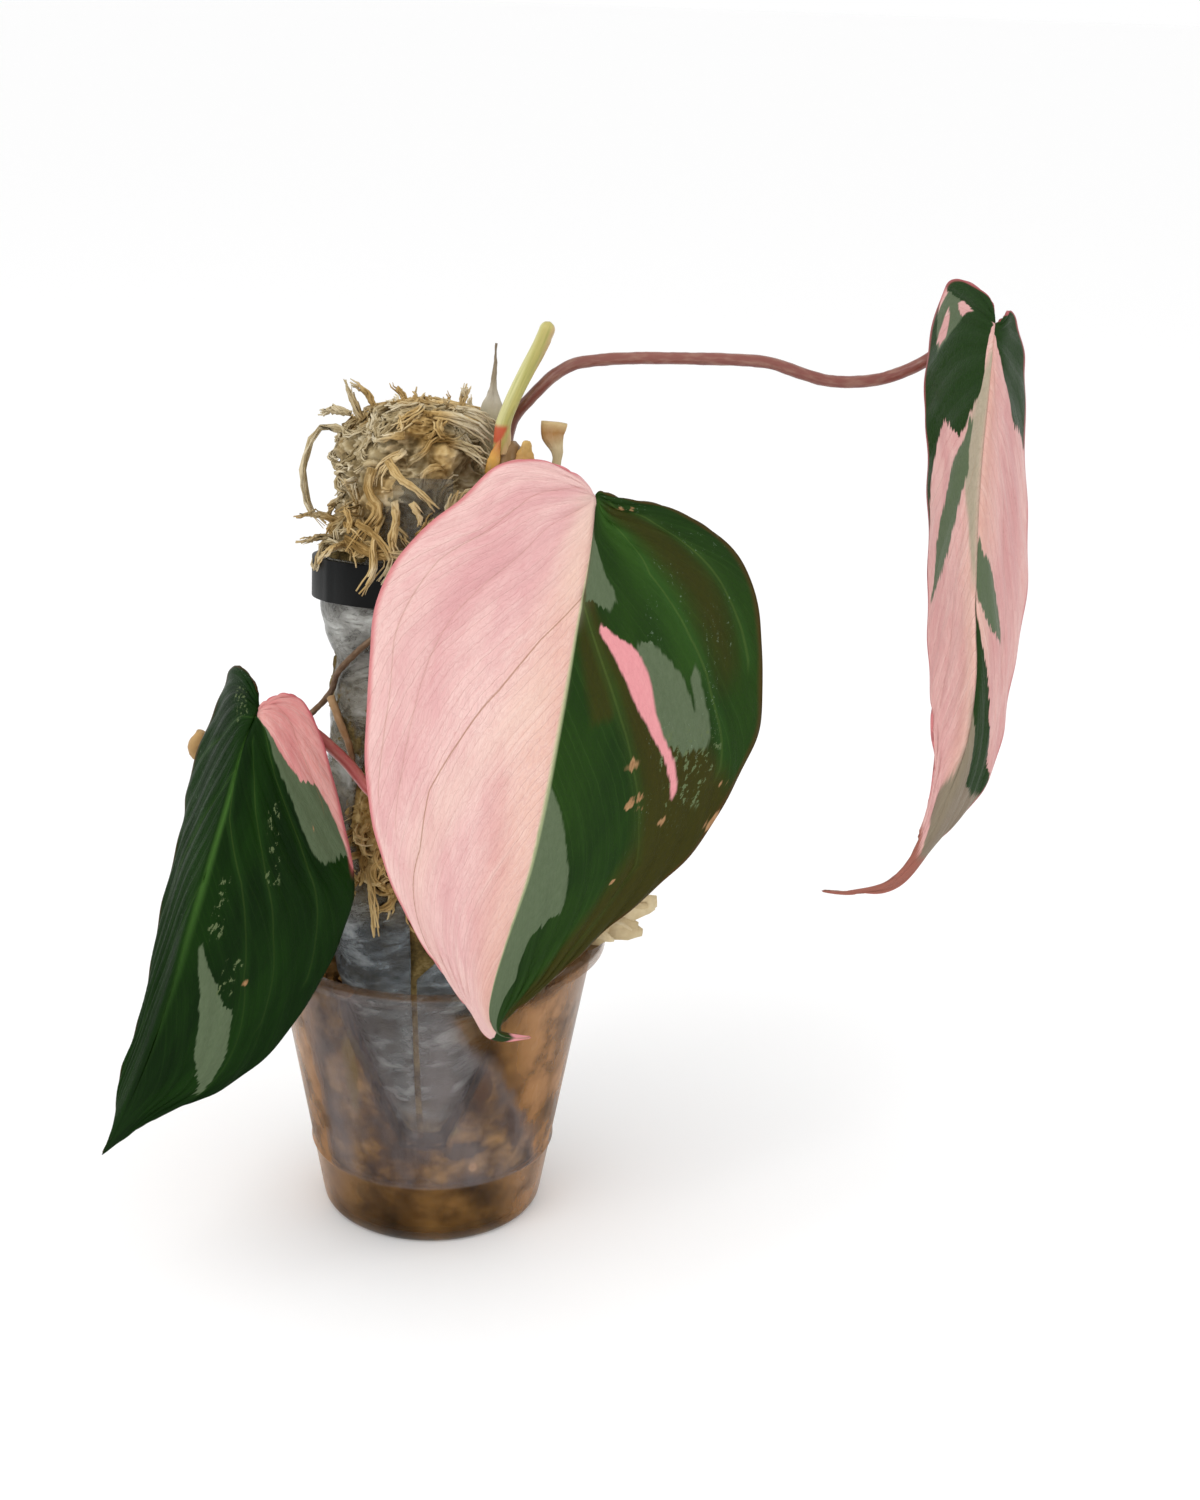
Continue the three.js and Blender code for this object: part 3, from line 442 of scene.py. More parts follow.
def polePoint(height, degrees, radius, shiftX=0):
    turn = math.radians(degrees)
    forward = pole["footShift"] * min(max((pole["shiftEnds"] - height) / (pole["shiftEnds"] - pole["bottom"]), 0), 1)
    depth = forward - radius * math.cos(turn)
    lean = pole["lean"]
    return Vector((shiftX + radius * math.sin(turn),
                   pole["footY"] + height * math.sin(lean) + depth * math.cos(lean),
                   height * math.cos(lean) - depth * math.sin(lean)))


def filmRadius(height, degrees):
    turn = math.radians(degrees)
    free = (rising(height, 92, 112) + 0.25) * (1 - rising(height, 176, 184))
    folds = 0.55 * math.sin(5 * turn + height * 0.11) + 0.35 * math.sin(9 * turn - height * 0.17)
    return between(pole["profile"], height) + free * folds


def makeFilm():
    def place(s, t):
        height = pole["bottom"] + (pole["top"] - pole["bottom"]) * t
        start, end = between(pole["slitRight"], height), 360 + between(pole["slitLeft"], height)
        degrees = start + (end - start) * s
        front = degrees - 360
        rise = pole["patch"] * rising(front, -34, -14) * (degrees > 90)
        height += rise * rising(t, 0.9, 1.0)
        loose = rising(height, 44, 60) * (1 - rising(height, 180, 186)) * (0.35 + 0.65 * rising(height, 96, 108))
        spot = Vector((math.sin(math.radians(degrees)) * 1.5, math.cos(math.radians(degrees)) * 1.5, height * 0.07))
        crease = noise.noise(spot * 2.1) * 0.5 + abs(noise.noise(spot * 5 + Vector((3, 1, 7)))) * 0.5 - 0.3
        radius = filmRadius(min(height, 199), degrees) - pole["wall"] / 2 - 0.1 + 0.75 * loose * crease
        return polePoint(height, degrees, radius)

    piece = addGrid("poleFilm", 150, 130, place)
    addModifier(piece, "SOLIDIFY", {"thickness": 0.4 * mm, "offset": 0})
    return piece


def paintFilm():
    paint = Paint("greyFilm")
    spots = paint.coordinates("Object")
    x, y, z = paint.split(spots)
    cloud = paint.speckle(paint.stretched(spots, (45, 45, 95)), 1.0, 5.0, 0.65)
    folds = paint.speckle(paint.gather(x * 60 + z * 25, y * 60, z * 210 - x * 60), 1.0, 4.0, 0.6, 0.9)
    crinkle = paint.speckle(paint.stretched(spots, (170, 170, 260)), 1.0, 3.0, 0.6, 1.2)
    crease = 1 - paint.rise(abs(folds - 0.47), 0.0, 0.03)
    dry = paint.rise(z + (cloud - 0.5) * 0.02, 0.1, 0.112)
    pale = paint.rise(z, 0.15, 0.185)
    flap = paint.rise(z, 0.198, 0.202)
    # tone follows the film's clouding and its folds: the pale ends of the ramps below are partly the film's own
    # mottling and partly painted highlight on the fold crinkles
    tone = cloud * 0.55 + folds * 0.5
    mossy = paint.ramp(tone, [
        (0.36, tint(66, 56, 38)), (0.46, tint(104, 94, 72)), (0.55, tint(134, 128, 110)), (0.68, tint(188, 188, 180))])
    milky = paint.ramp(tone, [
        (0.36, tint(88, 84, 76)), (0.48, tint(132, 131, 125)), (0.6, tint(166, 166, 160)), (0.7, tint(204, 205, 200))])
    steely = paint.ramp(tone, [
        (0.36, tint(44, 44, 44)), (0.46, tint(78, 82, 84)), (0.56, tint(112, 119, 123)), (0.68, tint(178, 184, 186))])
    colour = paint.blend(dry, steely, paint.blend(pale, mossy, milky))
    # painted shade: dark lines along the fold creases
    colour = paint.blend(crease * 0.55, colour, tint(46, 40, 32))
    colour = paint.blend(flap * 0.8, colour, tint(92, 88, 78))
    body = (0.5 + pale * 0.2 + paint.rise(cloud, 0.4, 0.7) * 0.22 - dry * 0.12) * (1 - flap * 0.62) * paint.rise(z + (folds - 0.5) * 0.03, 0.034, 0.056)
    paint.dress({"Base Color": colour, "Roughness": 0.28 + 0.2 * cloud, "Specular IOR Level": 0.3,
                 "Normal": paint.bump(crinkle + folds * 1.5, 0.0014, 0.8)})
    clear = paint.node("ShaderNodeBsdfTransparent", None, {"Color": (0.93, 0.94, 0.95, 1)})
    surface = paint.node("ShaderNodeMixShader", None, {0: body, 1: clear, 2: Wire(paint, paint.shader.outputs[0])})
    paint.join(paint.tree.nodes["Material Output"].inputs["Surface"], surface)
    return paint.material


finishPiece(makeFilm(), "pole_film", paintFilm())

collar = {"inner": 33, "outer": 34.4, "bottom": 187.5, "top": 198.8, "seam": -53, "seamHalf": 2.2, "seamStand": 0.25}


def makeCollar():
    middle = (collar["bottom"] + collar["top"]) / 2
    centre = polePoint(middle, 0, 0) * mm
    deselect()
    bpy.ops.mesh.primitive_cylinder_add(
        vertices=144, radius=(collar["inner"] + collar["outer"]) / 2 * mm,
        depth=(collar["top"] - collar["bottom"]) * mm, end_fill_type="NOTHING", location=(0, 0, 0))
    piece = bpy.context.object
    piece.name = "blackCollar"
    addModifier(piece, "SOLIDIFY", {"thickness": (collar["outer"] - collar["inner"]) * mm, "offset": 0})
    for vertex in piece.data.vertices:
        degrees = math.degrees(math.atan2(vertex.co.x, -vertex.co.y))
        if vertex.co.xy.length > collar["inner"] * mm * 1.02 and abs(degrees - collar["seam"]) < collar["seamHalf"]:
            vertex.co.xy = vertex.co.xy * (1 + collar["seamStand"] / collar["outer"])
    addModifier(piece, "BEVEL", {"width": 0.3 * mm, "segments": 2, "limit_method": "ANGLE",
                                 "angle_limit": math.radians(50)})
    piece.location = centre
    piece.rotation_euler = (-pole["lean"], 0, 0)
    select(piece)
    bpy.ops.object.transform_apply(location=True, rotation=True, scale=True)
    return piece


def paintBlackPlastic():
    paint = Paint("blackPlastic")
    spots = paint.coordinates("Object")
    grain = paint.speckle(spots, 900.0, 3.0)
    wear = paint.speckle(spots, 60.0, 4.0)
    return paint.dress({
        "Base Color": paint.blend(paint.rise(wear, 0.45, 0.8), tint(7, 8, 9), tint(20, 22, 22)),
        "Roughness": 0.32 + 0.25 * wear, "Specular IOR Level": 0.12, "Normal": paint.bump(grain, 0.0001, 0.4)})


finishPiece(makeCollar(), "pole_ring", paintBlackPlastic(), 35)
print("pole film and collar made")

# substrate
soil = {
    "voxel": 1.2 * mm, "sink": 0.8, "seed": 11, "chips": 64, "top": 80, "ring": (31, 40),
    # what shows at the wall: degrees from the front, height, half width in degrees, half height, tint
    "spots": [
        (18, 31.5, 12, 3.4, tint(50, 32, 16)), (48, 37, 9, 10, tint(62, 38, 18)), (51, 38, 4, 5, tint(118, 68, 36)),
        (26, 53, 4.5, 8, tint(72, 46, 24)), (33, 64, 7, 8, tint(94, 66, 38)), (7, 38.5, 10, 3.6, tint(128, 108, 56)),
        (-31, 56, 3.6, 15, tint(120, 98, 50)), (24, 25, 2.4, 1.7, tint(200, 152, 100)),
        (-31, 12.5, 8, 4, tint(56, 36, 18)), (9, 9, 12, 3, tint(62, 42, 20)), (35, 11.5, 7, 3.6, tint(54, 36, 16)),
        (70, 50, 9, 12, tint(120, 84, 52)), (-75, 40, 9, 14, tint(150, 108, 72)), (150, 45, 14, 12, tint(58, 38, 20)),
        (-140, 30, 12, 10, tint(64, 44, 24)), (105, 28, 11, 8, tint(60, 40, 20)), (-110, 62, 12, 7, tint(122, 104, 58)),
    ],
}


def makeSoil():
    piece = bpy.data.objects["substrate"].copy()
    piece.data = piece.data.copy()
    piece.name = "barkMixture"
    bpy.context.collection.objects.link(piece)
    for key in list(piece.keys()):
        del piece[key]
    select(piece)
    bpy.ops.object.mode_set(mode="EDIT")
    bpy.ops.mesh.select_all(action="SELECT")
    bpy.ops.mesh.remove_doubles(threshold=1e-6)
    bpy.ops.object.mode_set(mode="OBJECT")
    addModifier(piece, "REMESH", {"mode": "VOXEL", "voxel_size": soil["voxel"]})
    for vertex in piece.data.vertices:
        spot = vertex.co / mm
        distances, _ = noise.voronoi(spot * 0.16, distance_metric="DISTANCE")
        crack = 1 - rising(distances[1] - distances[0], 0.0, 0.3)
        crumbs = 0.5 + 0.5 * noise.fractal(spot * 0.35, 1.0, 2.0, 3)
        vertex.co -= vertex.normal * soil["sink"] * (0.75 * crack + 0.45 * crumbs) * mm
    piece.data.update()
    return piece


def makeChips():
    # bark chips that lie on the substrate between the pole and the wall
    luck = random.Random(soil["seed"])
    chips = []
    for i in range(soil["chips"]):
        angle = i * 2.4 + luck.uniform(-0.2, 0.2)
        reach = luck.uniform(*soil["ring"])
        foot = Vector((reach * math.sin(angle), -reach * math.cos(angle), soil["top"] + luck.uniform(-0.5, 2.2)))
        if angle % (2 * math.pi) < 0.7 or angle % (2 * math.pi) > 5.6:
            foot.z -= 1.5
        deselect()
        bpy.ops.mesh.primitive_ico_sphere_add(subdivisions=2, radius=1, location=(0, 0, 0))
        chip = bpy.context.object
        size = Vector((luck.uniform(2.4, 4.6), luck.uniform(1.6, 3), luck.uniform(0.8, 1.5)))
        turn = Quaternion((0, 0, 1), luck.uniform(0, 6.28)) @ Quaternion((1, 0, 0), luck.uniform(-0.5, 0.5))
        for vertex in chip.data.vertices:
            rough = 1 + 0.35 * noise.noise(vertex.co * 1.6 + Vector((i * 3.7, 0, 0)))
            flat = Vector([max(min(part, 0.72), -0.72) for part in vertex.co * rough])
            vertex.co = (foot + turn @ Vector([a * b for a, b in zip(flat, size)])) * mm
        chips.append(chip)
    deselect()
    for chip in chips:
        chip.select_set(True)
    bpy.context.view_layer.objects.active = chips[0]
    bpy.ops.object.join()
    chips[0].name = chips[0].data.name = "barkChips"
    return chips[0]


def paintBark():
    paint = Paint("barkMix")
    spots = paint.coordinates("Object")
    x, y, z = paint.split(spots)
    degrees = x.maths("ARCTAN2", 0 - y) * (180 / math.pi)
    clumps = paint.cells(paint.stretched(spots, (1, 1, 1.5)), 160.0)
    broad = paint.speckle(spots, 70.0, 4.0, 0.6)
    crumbs = paint.speckle(spots, 210.0, 4.0, 0.6)
    fibre = paint.speckle(paint.stretched(spots, (700, 700, 240)), 1.0, 4.0, 0.7)
    colour = paint.ramp(broad, [
        (0.34, tint(44, 28, 10)), (0.44, tint(80, 54, 24)), (0.53, tint(116, 84, 42)), (0.64, tint(160, 122, 72))])
    # painted shade: darker towards the edges of the clumps, in the gaps between them
    colour = paint.blend(paint.rise(clumps, 0.3, 0.9) * 0.6, colour, tint(50, 32, 14))
    colour = paint.blend(paint.rise(crumbs, 0.56, 0.7) * 0.4, colour, tint(148, 112, 62))
    for at, height, wide, high, spotTint in soil["spots"]:
        away = ((degrees - at) * (1 / wide)) ** 2 + ((z - height * mm) * (1 / high / mm)) ** 2
        away = away + (crumbs - 0.5) * 2.4
        colour = paint.blend((1 - paint.rise(away, 0.5, 1.1)) * 0.9, colour, spotTint)
    colour = paint.blend(paint.rise(fibre, 0.55, 0.8) * 0.25, colour, tint(190, 152, 112))
    return paint.dress({"Base Color": colour, "Roughness": 0.85, "Specular IOR Level": 0.1,
                        "Normal": paint.bump(fibre + clumps, 0.0008, 0.7)})


barkPaint = paintBark()
finishPiece(makeSoil(), "substrate", barkPaint)
finishPiece(makeChips(), "substrate", barkPaint, 40)
print("substrate made")


# stem, stalks and roots
def paintSkin(name, stops, scales, roughness, ridge, coat=0.0):
    # stops colour it from its foot to its tip (UV v); scales: streak counts round and along
    paint = Paint(name)
    around, along, _ = paint.split(paint.coordinates("UV"))
    spots = paint.coordinates("Object")
    streak = paint.speckle(paint.gather(around * scales[0], along * scales[1]), 1.0, 3.0)
    blotch = paint.speckle(spots, 260.0, 4.0, 0.6)
    colour = paint.ramp(along + (blotch - 0.5) * 0.12, stops)
    colour = paint.blend(paint.rise(streak, 0.4, 0.75) * 0.16, colour, tint(214, 190, 160))
    colour = paint.blend(paint.rise(blotch, 0.55, 0.8) * 0.25, colour, tint(48, 30, 22))
    return paint.dress({"Base Color": colour, "Roughness": roughness, "Coat Weight": coat,
                        "Normal": paint.bump(streak + blotch * 0.5, ridge * mm, 0.8)})


stem = {
    "radius": 2.5, "nodes": [(0.4, 0.7), (0.63, 0.8), (0.985, 0.9)],
    "path": [(23, -17, 40), (27, -22.5, 60), (31, -27, 78), (30.5, -28.5, 92), (26.5, -31.5, 106),
             (20.5, -33.5, 119), (19, -31, 134), (18.2, -28.4, 150), (18.2, -25.8, 166), (18.2, -23.4, 182),
             (18, -22, 198), (19, -21, 212), (19.4, -19.6, 224), (19.8, -18.2, 233.4)],
}


def stemSize(t):
    radius = stem["radius"] + sum(stand * math.exp(-((t - at) / 0.022) ** 2) for at, stand in stem["nodes"])
    radius *= 1 - 0.35 * rising(t, 0.995, 1)
    return radius, radius


def knobbly(amount, pace, seed=0.0):
    def relief(angle, t):
        spot = Vector((math.cos(angle) * 1.4 + seed, math.sin(angle) * 1.4, t * pace))
        return amount * noise.noise(spot) + amount * 0.5 * noise.noise(spot * 2.7)
    return relief


finishPiece(
    rollTube("climbingStem", stem["path"], stemSize, 150, 20, 0, knobbly(0.25, 40)), "vine_stem",
    paintSkin("stemSkin", [(0.0, tint(88, 62, 40)), (0.5, tint(104, 92, 52)), (0.85, tint(112, 86, 52)),
                           (1.0, tint(126, 96, 56))], (9, 60), 0.5, 0.5))

leafShapes = {
    "leaf_front": {
        "seat": (43.6, -60, 227.8), "yaw": 2, "tilt": 11, "slant": 9, "power": 1.6, "arch": 5, "curl": -5,
        "foldLeft": (50, 7), "foldRight": (50, 14),
        "midrib": [(0, 0), (-1.5, -14.5), (-4, -30.5), (-6.5, -47.5), (-9, -63.5), (-11.5, -78.5), (-14.5, -93),
                   (-19, -108), (-22.5, -121), (-23.5, -130), (-20.5, -135.5), (-13, -136.5)],
        "left": [(0, 0), (-4.5, 5.5), (-13, 9), (-23.5, 8), (-33.5, -1), (-43, -9), (-50.5, -19.5), (-54, -30.5),
                 (-55, -45.5), (-55.5, -63), (-54, -78), (-50.5, -91.5), (-44, -105.5), (-36, -117.5),
                 (-29, -128), (-23, -136.5), (-13, -136.5)],
        "right": [(0, 0), (1, 2), (6.5, 0.5), (16.5, -1), (28, -6.5), (37, -15), (41.5, -27), (42.5, -41.5),
                  (42.5, -56.5), (37, -70.5), (28.5, -85), (17.5, -96.5), (5, -108), (-6, -118.5), (-17, -128),
                  (-21, -134), (-13, -136.5)],
    },
    "leaf_left": {
        "seat": (-42.3, -47, 165.4), "yaw": 4, "tilt": 15, "slant": 15, "power": 1.35, "arch": 6, "curl": -4,
        "foldLeft": (15, 32), "foldRight": (34, 12),
        "midrib": [(0, 0), (-3.5, -8), (-8, -25), (-13, -42), (-17.5, -57), (-21, -69.5), (-26.5, -86),
                   (-31.5, -99), (-36, -108.5), (-40.5, -117)],
        "left": [(0, 0), (-0.5, 6.5), (-5.5, 12), (-9.5, 8.5), (-14, -3), (-19, -19.5), (-21.5, -31.5),
                 (-25, -50.5), (-28.5, -68.5), (-32, -85.5), (-36, -98.5), (-37.5, -109), (-40.5, -117)],
        "right": [(0, 0), (2, 3), (7, 5.5), (12, 3), (16.5, -6.5), (20.5, -21), (23.5, -36), (24.5, -48),
                  (20.5, -62), (13.5, -75), (3, -90), (-9.5, -99.5), (-25, -105.5), (-35, -112.5), (-40.5, -117)],
    },
    "leaf_right": {
        "seat": (139.6, -40, 270), "yaw": -5, "tilt": 10, "slant": 0, "power": 1.35, "arch": 4, "curl": -3,
        "foldLeft": (14, 22), "foldRight": (14, 27), "tail": 0.6,
        "midrib": [(0, 0), (0, -15.5), (-0.5, -31.5), (-0.5, -47.5), (0.5, -69), (2, -87), (1, -104),
                   (-3.5, -120), (-8, -132), (-16.5, -141.5), (-25, -144.5), (-32.5, -145)],
        "left": [(0, 0), (-1.5, 6.5), (-8, 11.5), (-11.5, 9), (-14.5, -4), (-14.5, -17), (-12.5, -28.5),
                 (-12, -43.5), (-10.5, -62), (-9, -79), (-8, -94), (-6.5, -108), (-8, -126.5), (-13.5, -139),
                 (-24, -143.5), (-32.5, -145)],
        "right": [(0, 0), (2, 2.5), (4.5, 4), (7.5, -3.5), (10.5, -17), (14, -42.5), (15, -66), (13, -87),
                  (10.5, -105), (5, -119.5), (-4.5, -130.5), (-13, -141.5), (-24, -145.5), (-32.5, -145)],
    },
}
midribPower = 1.3
bladeThickness = 0.8


def bladeAxes(shape):
    yaw, tilt = math.radians(shape["yaw"]), math.radians(shape["tilt"])
    facing = Vector((math.sin(yaw), -math.cos(yaw), 0))
    up = Vector((0, 0, 1))
    return (Vector((math.cos(yaw), math.sin(yaw), 0)), up * math.cos(tilt) - facing * math.sin(tilt),
            facing * math.cos(tilt) + up * math.sin(tilt))


def bladePoint(shape, u, v):
    # u from notch to tip, v from the left margin (-1) over the midrib (0) to the right margin (1)
    across, along, out = bladeAxes(shape)
    middle = Vector(splineAt(shape["midrib"], u ** midribPower))
    aside = (Vector(splineAt(shape["left" if v < 0 else "right"], u)) - middle) * abs(v)
    aside *= 1 - shape.get("tail", 0) * rising(u, 0.84, 0.95)
    slant = math.radians(shape["slant"])
    reach, drop = shape["foldLeft" if v < 0 else "foldRight"]
    distance = max((aside.x * math.cos(slant) - aside.y * math.sin(slant)) * (-1 if v < 0 else 1), 0)
    depth = (shape["arch"] * math.sin(math.pi * u) + shape["curl"] * u ** 6
             - drop * (distance / reach) ** shape["power"])
    flat = middle + aside
    return Vector(shape["seat"]) + across * flat.x + along * flat.y + out * depth


stalks = {
    "petiole_front": {"name": "frontStalk", "leaf": "leaf_front", "steps": 50, "path": [
        (21.5, -28.3, 168.5), (27.5, -34, 180), (35, -41, 199), (41.5, -48.5, 215)]},
    "petiole_left": {"name": "leftStalk", "leaf": "leaf_left", "steps": 60, "path": [
        (16.7, -35.8, 121), (7, -42.5, 126), (-6, -41, 135.5), (-14.6, -38.5, 142.6), (-20.5, -36.5, 149),
        (-31, -35.5, 158), (-39.5, -38, 164)]},
    "petiole_right": {"name": "rightStalk", "leaf": "leaf_right", "steps": 140, "path": [
        (18.6, -16.4, 230), (19.2, -15.4, 234.1), (20, -15.2, 237.2), (21.4, -15.5, 239.8), (24.2, -16, 243.2), (27.7, -16.2, 247.1),
        (31.7, -15.8, 250.8), (36.5, -15, 253.4), (43, -14, 254.5), (53.3, -13, 255.2), (69, -11.5, 255.3),
        (79.4, -10.9, 255.3), (87.3, -10.5, 254.7), (95.4, -10, 252.3), (102, -9.7, 250.6), (108.7, -9.5, 250.3),
        (116.5, -9.1, 251.3), (122.9, -8.9, 253.6), (128.7, -9.4, 257), (133.4, -13.6, 262), (136.4, -20, 266)]},
}
stalkEndRadius = 1.0


def stalkEnd(shape, away):
    reach, drop = shape["foldLeft"]
    fallen = drop * (stalkEndRadius / reach) ** shape["power"]
    clearance = bladeThickness / 2 + 0.7 + fallen
    return bladePoint(shape, 0.045, 0) - bladeAxes(shape)[2] * (clearance + away)


def stalkSize(t):
    radius = 1.6 * (1 + 0.25 * math.exp(-(t / 0.06) ** 2))
    radius += (stalkEndRadius - radius) * rising(t, 0.8, 1)
    return radius, radius


stalkPaint = paintSkin("stalkSkin", [
    (0.0, tint(102, 56, 40)), (0.3, tint(126, 72, 62)), (0.75, tint(118, 60, 50)), (1.0, tint(132, 68, 60))],
    (8, 30), 0.42, 0.25, 0.15)
leftStalkPaint = paintSkin("leftStalkSkin", [
    (0.0, tint(150, 70, 66)), (0.5, tint(176, 84, 82)), (1.0, tint(166, 84, 74))], (8, 14), 0.4, 0.2, 0.15)
for node, stalk in stalks.items():
    shape = leafShapes[stalk["leaf"]]
    path = stalk["path"] + [stalkEnd(shape, 7), stalkEnd(shape, 0)]
    tube = rollTube(stalk["name"], path, stalkSize, stalk["steps"], 16, 0, knobbly(0.12, 60))
    finishPiece(tube, node, leftStalkPaint if node == "petiole_left" else stalkPaint)

shootPath = [(18.4, -19.8, 230.5), (18.3, -20, 234.3), (18.5, -20.1, 238), (20.6, -20, 244), (24.3, -19.2, 252.1),
             (27.5, -20, 258.7), (30, -21, 264.8)]
shootLean = 0.385  # how far it moves right for each millimetre it rises


def shootSize(t):
    rounded = max(1 - (max(t - 0.94, 0) / 0.06) ** 2, 0.02) ** 0.5
    radius = (2.55 - 0.5 * rising(t, 0, 0.3)) * rounded
    return radius, radius


def shootRoll(angle, t):
    # the rolled blade's free edge winds up the shoot
    around = (angle - 2.2 * t - 1.2) % (2 * math.pi)
    return (0.28 * math.exp(-(around / 0.5) ** 2) - 0.12) * (1 - rising(t, 0.9, 1))


def paintShoot():
    paint = Paint("shootSkin")
    spots = paint.coordinates("Object")
    x, y, z = paint.split(spots)
    around, along, _ = paint.split(paint.coordinates("UV"))
    side = x * 1000 - 18.2 - (z * 1000 - 234.3) * shootLean
    veins = paint.speckle(paint.gather(around * 16, along * 3), 1.0, 3.0)
    blotch = paint.speckle(spots, 300.0, 3.0)
    colour = paint.ramp(along, [(0.0, tint(150, 124, 66)), (0.16, tint(182, 174, 104)), (0.6, tint(178, 172, 102)),
                                (1.0, tint(182, 170, 104))])
    colour = paint.blend((1 - paint.rise(side, -2.2, -0.9)) * 0.75, colour, tint(206, 202, 146))
    colour = paint.blend(paint.rise(side, 0.7, 1.9) * 0.7, colour, tint(206, 168, 128))
    colour = paint.blend(paint.rise(veins, 0.42, 0.7) * 0.35, colour, tint(128, 140, 68))
    red = (1 - paint.rise(abs(z - 0.2355), 0.0015, 0.0032)) * (1 - paint.rise(side + (blotch - 0.5) * 2, -0.6, 0.8))
    colour = paint.blend(red * 0.9, colour, tint(186, 66, 44))
    return paint.dress({"Base Color": colour, "Roughness": 0.4, "Specular IOR Level": 0.3, "Coat Weight": 0.1,
                        "Normal": paint.bump(veins, 0.25 * mm, 0.8)})


finishPiece(rollTube("rolledShoot", shootPath, shootSize, 70, 28, 0, shootRoll), "new_shoot", paintShoot())

sheathPath = [(14.4, -11, 229), (14.6, -10.4, 236), (15.3, -10, 246), (15.7, -10, 257.3)]


def sheathSize(t):
    return 3.0 - 2.2 * rising(t, 0.38, 0.62) - 0.6 * rising(t, 0.62, 1), 0.7 - 0.5 * t


huskPaint = paintSkin("dryHusk", [(0.0, tint(150, 138, 104)), (0.35, tint(180, 172, 146)), (0.5, tint(186, 180, 164)),
                                  (0.68, tint(148, 134, 112)), (1.0, tint(128, 112, 92))], (16, 2), 0.8, 0.5)
finishPiece(rollTube("drySheath", sheathPath, sheathSize, 40, 20, 0, knobbly(0.3, 7)), "dry_sheath",
            huskPaint)

stubPath = [(22.3, -18.6, 215.5), (27.4, -16.4, 218.5), (31.8, -14.6, 224.5), (32.6, -14, 229.5), (31.2, -14, 234.6),
            (31.5, -14, 237.8)]


def stubSize(t):
    flare = rising(t, 0.62, 0.97)
    return 1.2 + 1.9 * flare, 1.2 + 0.4 * flare


def stubRelief(angle, t):
    # the flared mouth is torn and folded in on one side
    return knobbly(0.22, 10, 4.0)(angle, t) + rising(t, 0.7, 1) * 0.5 * math.sin(2 * angle + 1.2)


finishPiece(
    rollTube("flaredStub", stubPath, stubSize, 44, 24, math.pi / 2, stubRelief), "dry_stub",
    paintSkin("stubHusk", [(0.0, tint(132, 116, 84)), (0.6, tint(178, 162, 124)), (0.76, tint(196, 178, 138)),
                           (0.9, tint(166, 122, 70)), (1.0, tint(204, 178, 128))], (10, 3), 0.8, 0.5))

bractPath = [(23, -20, 226), (24.2, -20.8, 229.5), (24.8, -21.4, 234)]
finishPiece(
    rollTube("tanBract", bractPath, lambda t: (3.2 - 2.4 * t ** 1.5, 1.6 - 0.9 * t), 20, 20, math.pi / 2, knobbly(0.4, 5, 2.0)),
    "bract_stub",
    paintSkin("bractSkin", [(0.0, tint(118, 66, 44)), (0.4, tint(178, 134, 72)), (1.0, tint(204, 168, 100))],
              (8, 2), 0.8, 0.4))
budPath = [(15.4, -21, 225), (16.6, -22.2, 230), (17.9, -22.3, 234.4)]
finishPiece(
    rollTube("goldBud", budPath, lambda t: (1.5 * (1 - t ** 3) + 0.15, 1.1 * (1 - t ** 3) + 0.1), 24, 16, 0,
             knobbly(0.2, 6, 7.0)), None,
    paintSkin("budSkin", [(0.0, tint(150, 110, 48)), (0.5, tint(212, 160, 74)), (1.0, tint(176, 84, 44))],
              (6, 3), 0.55, 0.3))


def skinPoint(height, degrees, radius):
    onCollar = collar["bottom"] - 3 < height < collar["top"] + 3
    reach = max(filmRadius(height, degrees), collar["outer"] if onCollar else 0)
    return polePoint(height, degrees, reach + radius + 0.6)


rootPaint = paintSkin("rootSkin", [(0.0, tint(92, 68, 48)), (0.6, tint(104, 78, 54)), (0.85, tint(124, 92, 60)),
                                   (1.0, tint(176, 140, 88))], (6, 40), 0.8, 0.5)
longRoot = [Vector((16.2, -25.2, 206))] + [
    skinPoint(height, degrees, 0.85) for height, degrees in
    [(201.5, 12), (196, 1), (187, -11), (181, -23), (175.8, -35.8), (168.6, -53), (161, -71)]] + [
    (-35.4, -8.4, 152), (-43.5, -9, 147), (-54, -11, 142), (-61.6, -13, 140.4), (-65.2, -14, 143.6),
    (-63.4, -14.4, 148.6)]


def longRootSize(t):
    radius = 0.85 + 1.5 * rising(t, 0.84, 0.93) - 0.9 * rising(t, 0.96, 1)
    return radius, radius


finishPiece(rollTube("longRoot", longRoot, longRootSize, 130, 12, 0, knobbly(0.22, 70)), "aerial_root_long",
            rootPaint)
shortRoot = [skinPoint(height, degrees, 1.15) for height, degrees in
             [(161, -60), (155, -50), (149.6, -43.5), (144.4, -39.5), (140, -38)]]
finishPiece(rollTube("shortRoot", shortRoot, lambda t: (1.15 - 0.35 * t, 1.15 - 0.35 * t), 40, 12, 0,
                     knobbly(0.2, 14, 5.0)), "aerial_root_short",
            paintSkin("shortRootSkin", [(0.0, tint(170, 136, 96)), (0.5, tint(140, 102, 66)), (1.0, tint(96, 66, 44))],
                      (6, 10), 0.8, 0.4))
print("stem, stalks, shoot, husks and roots made")

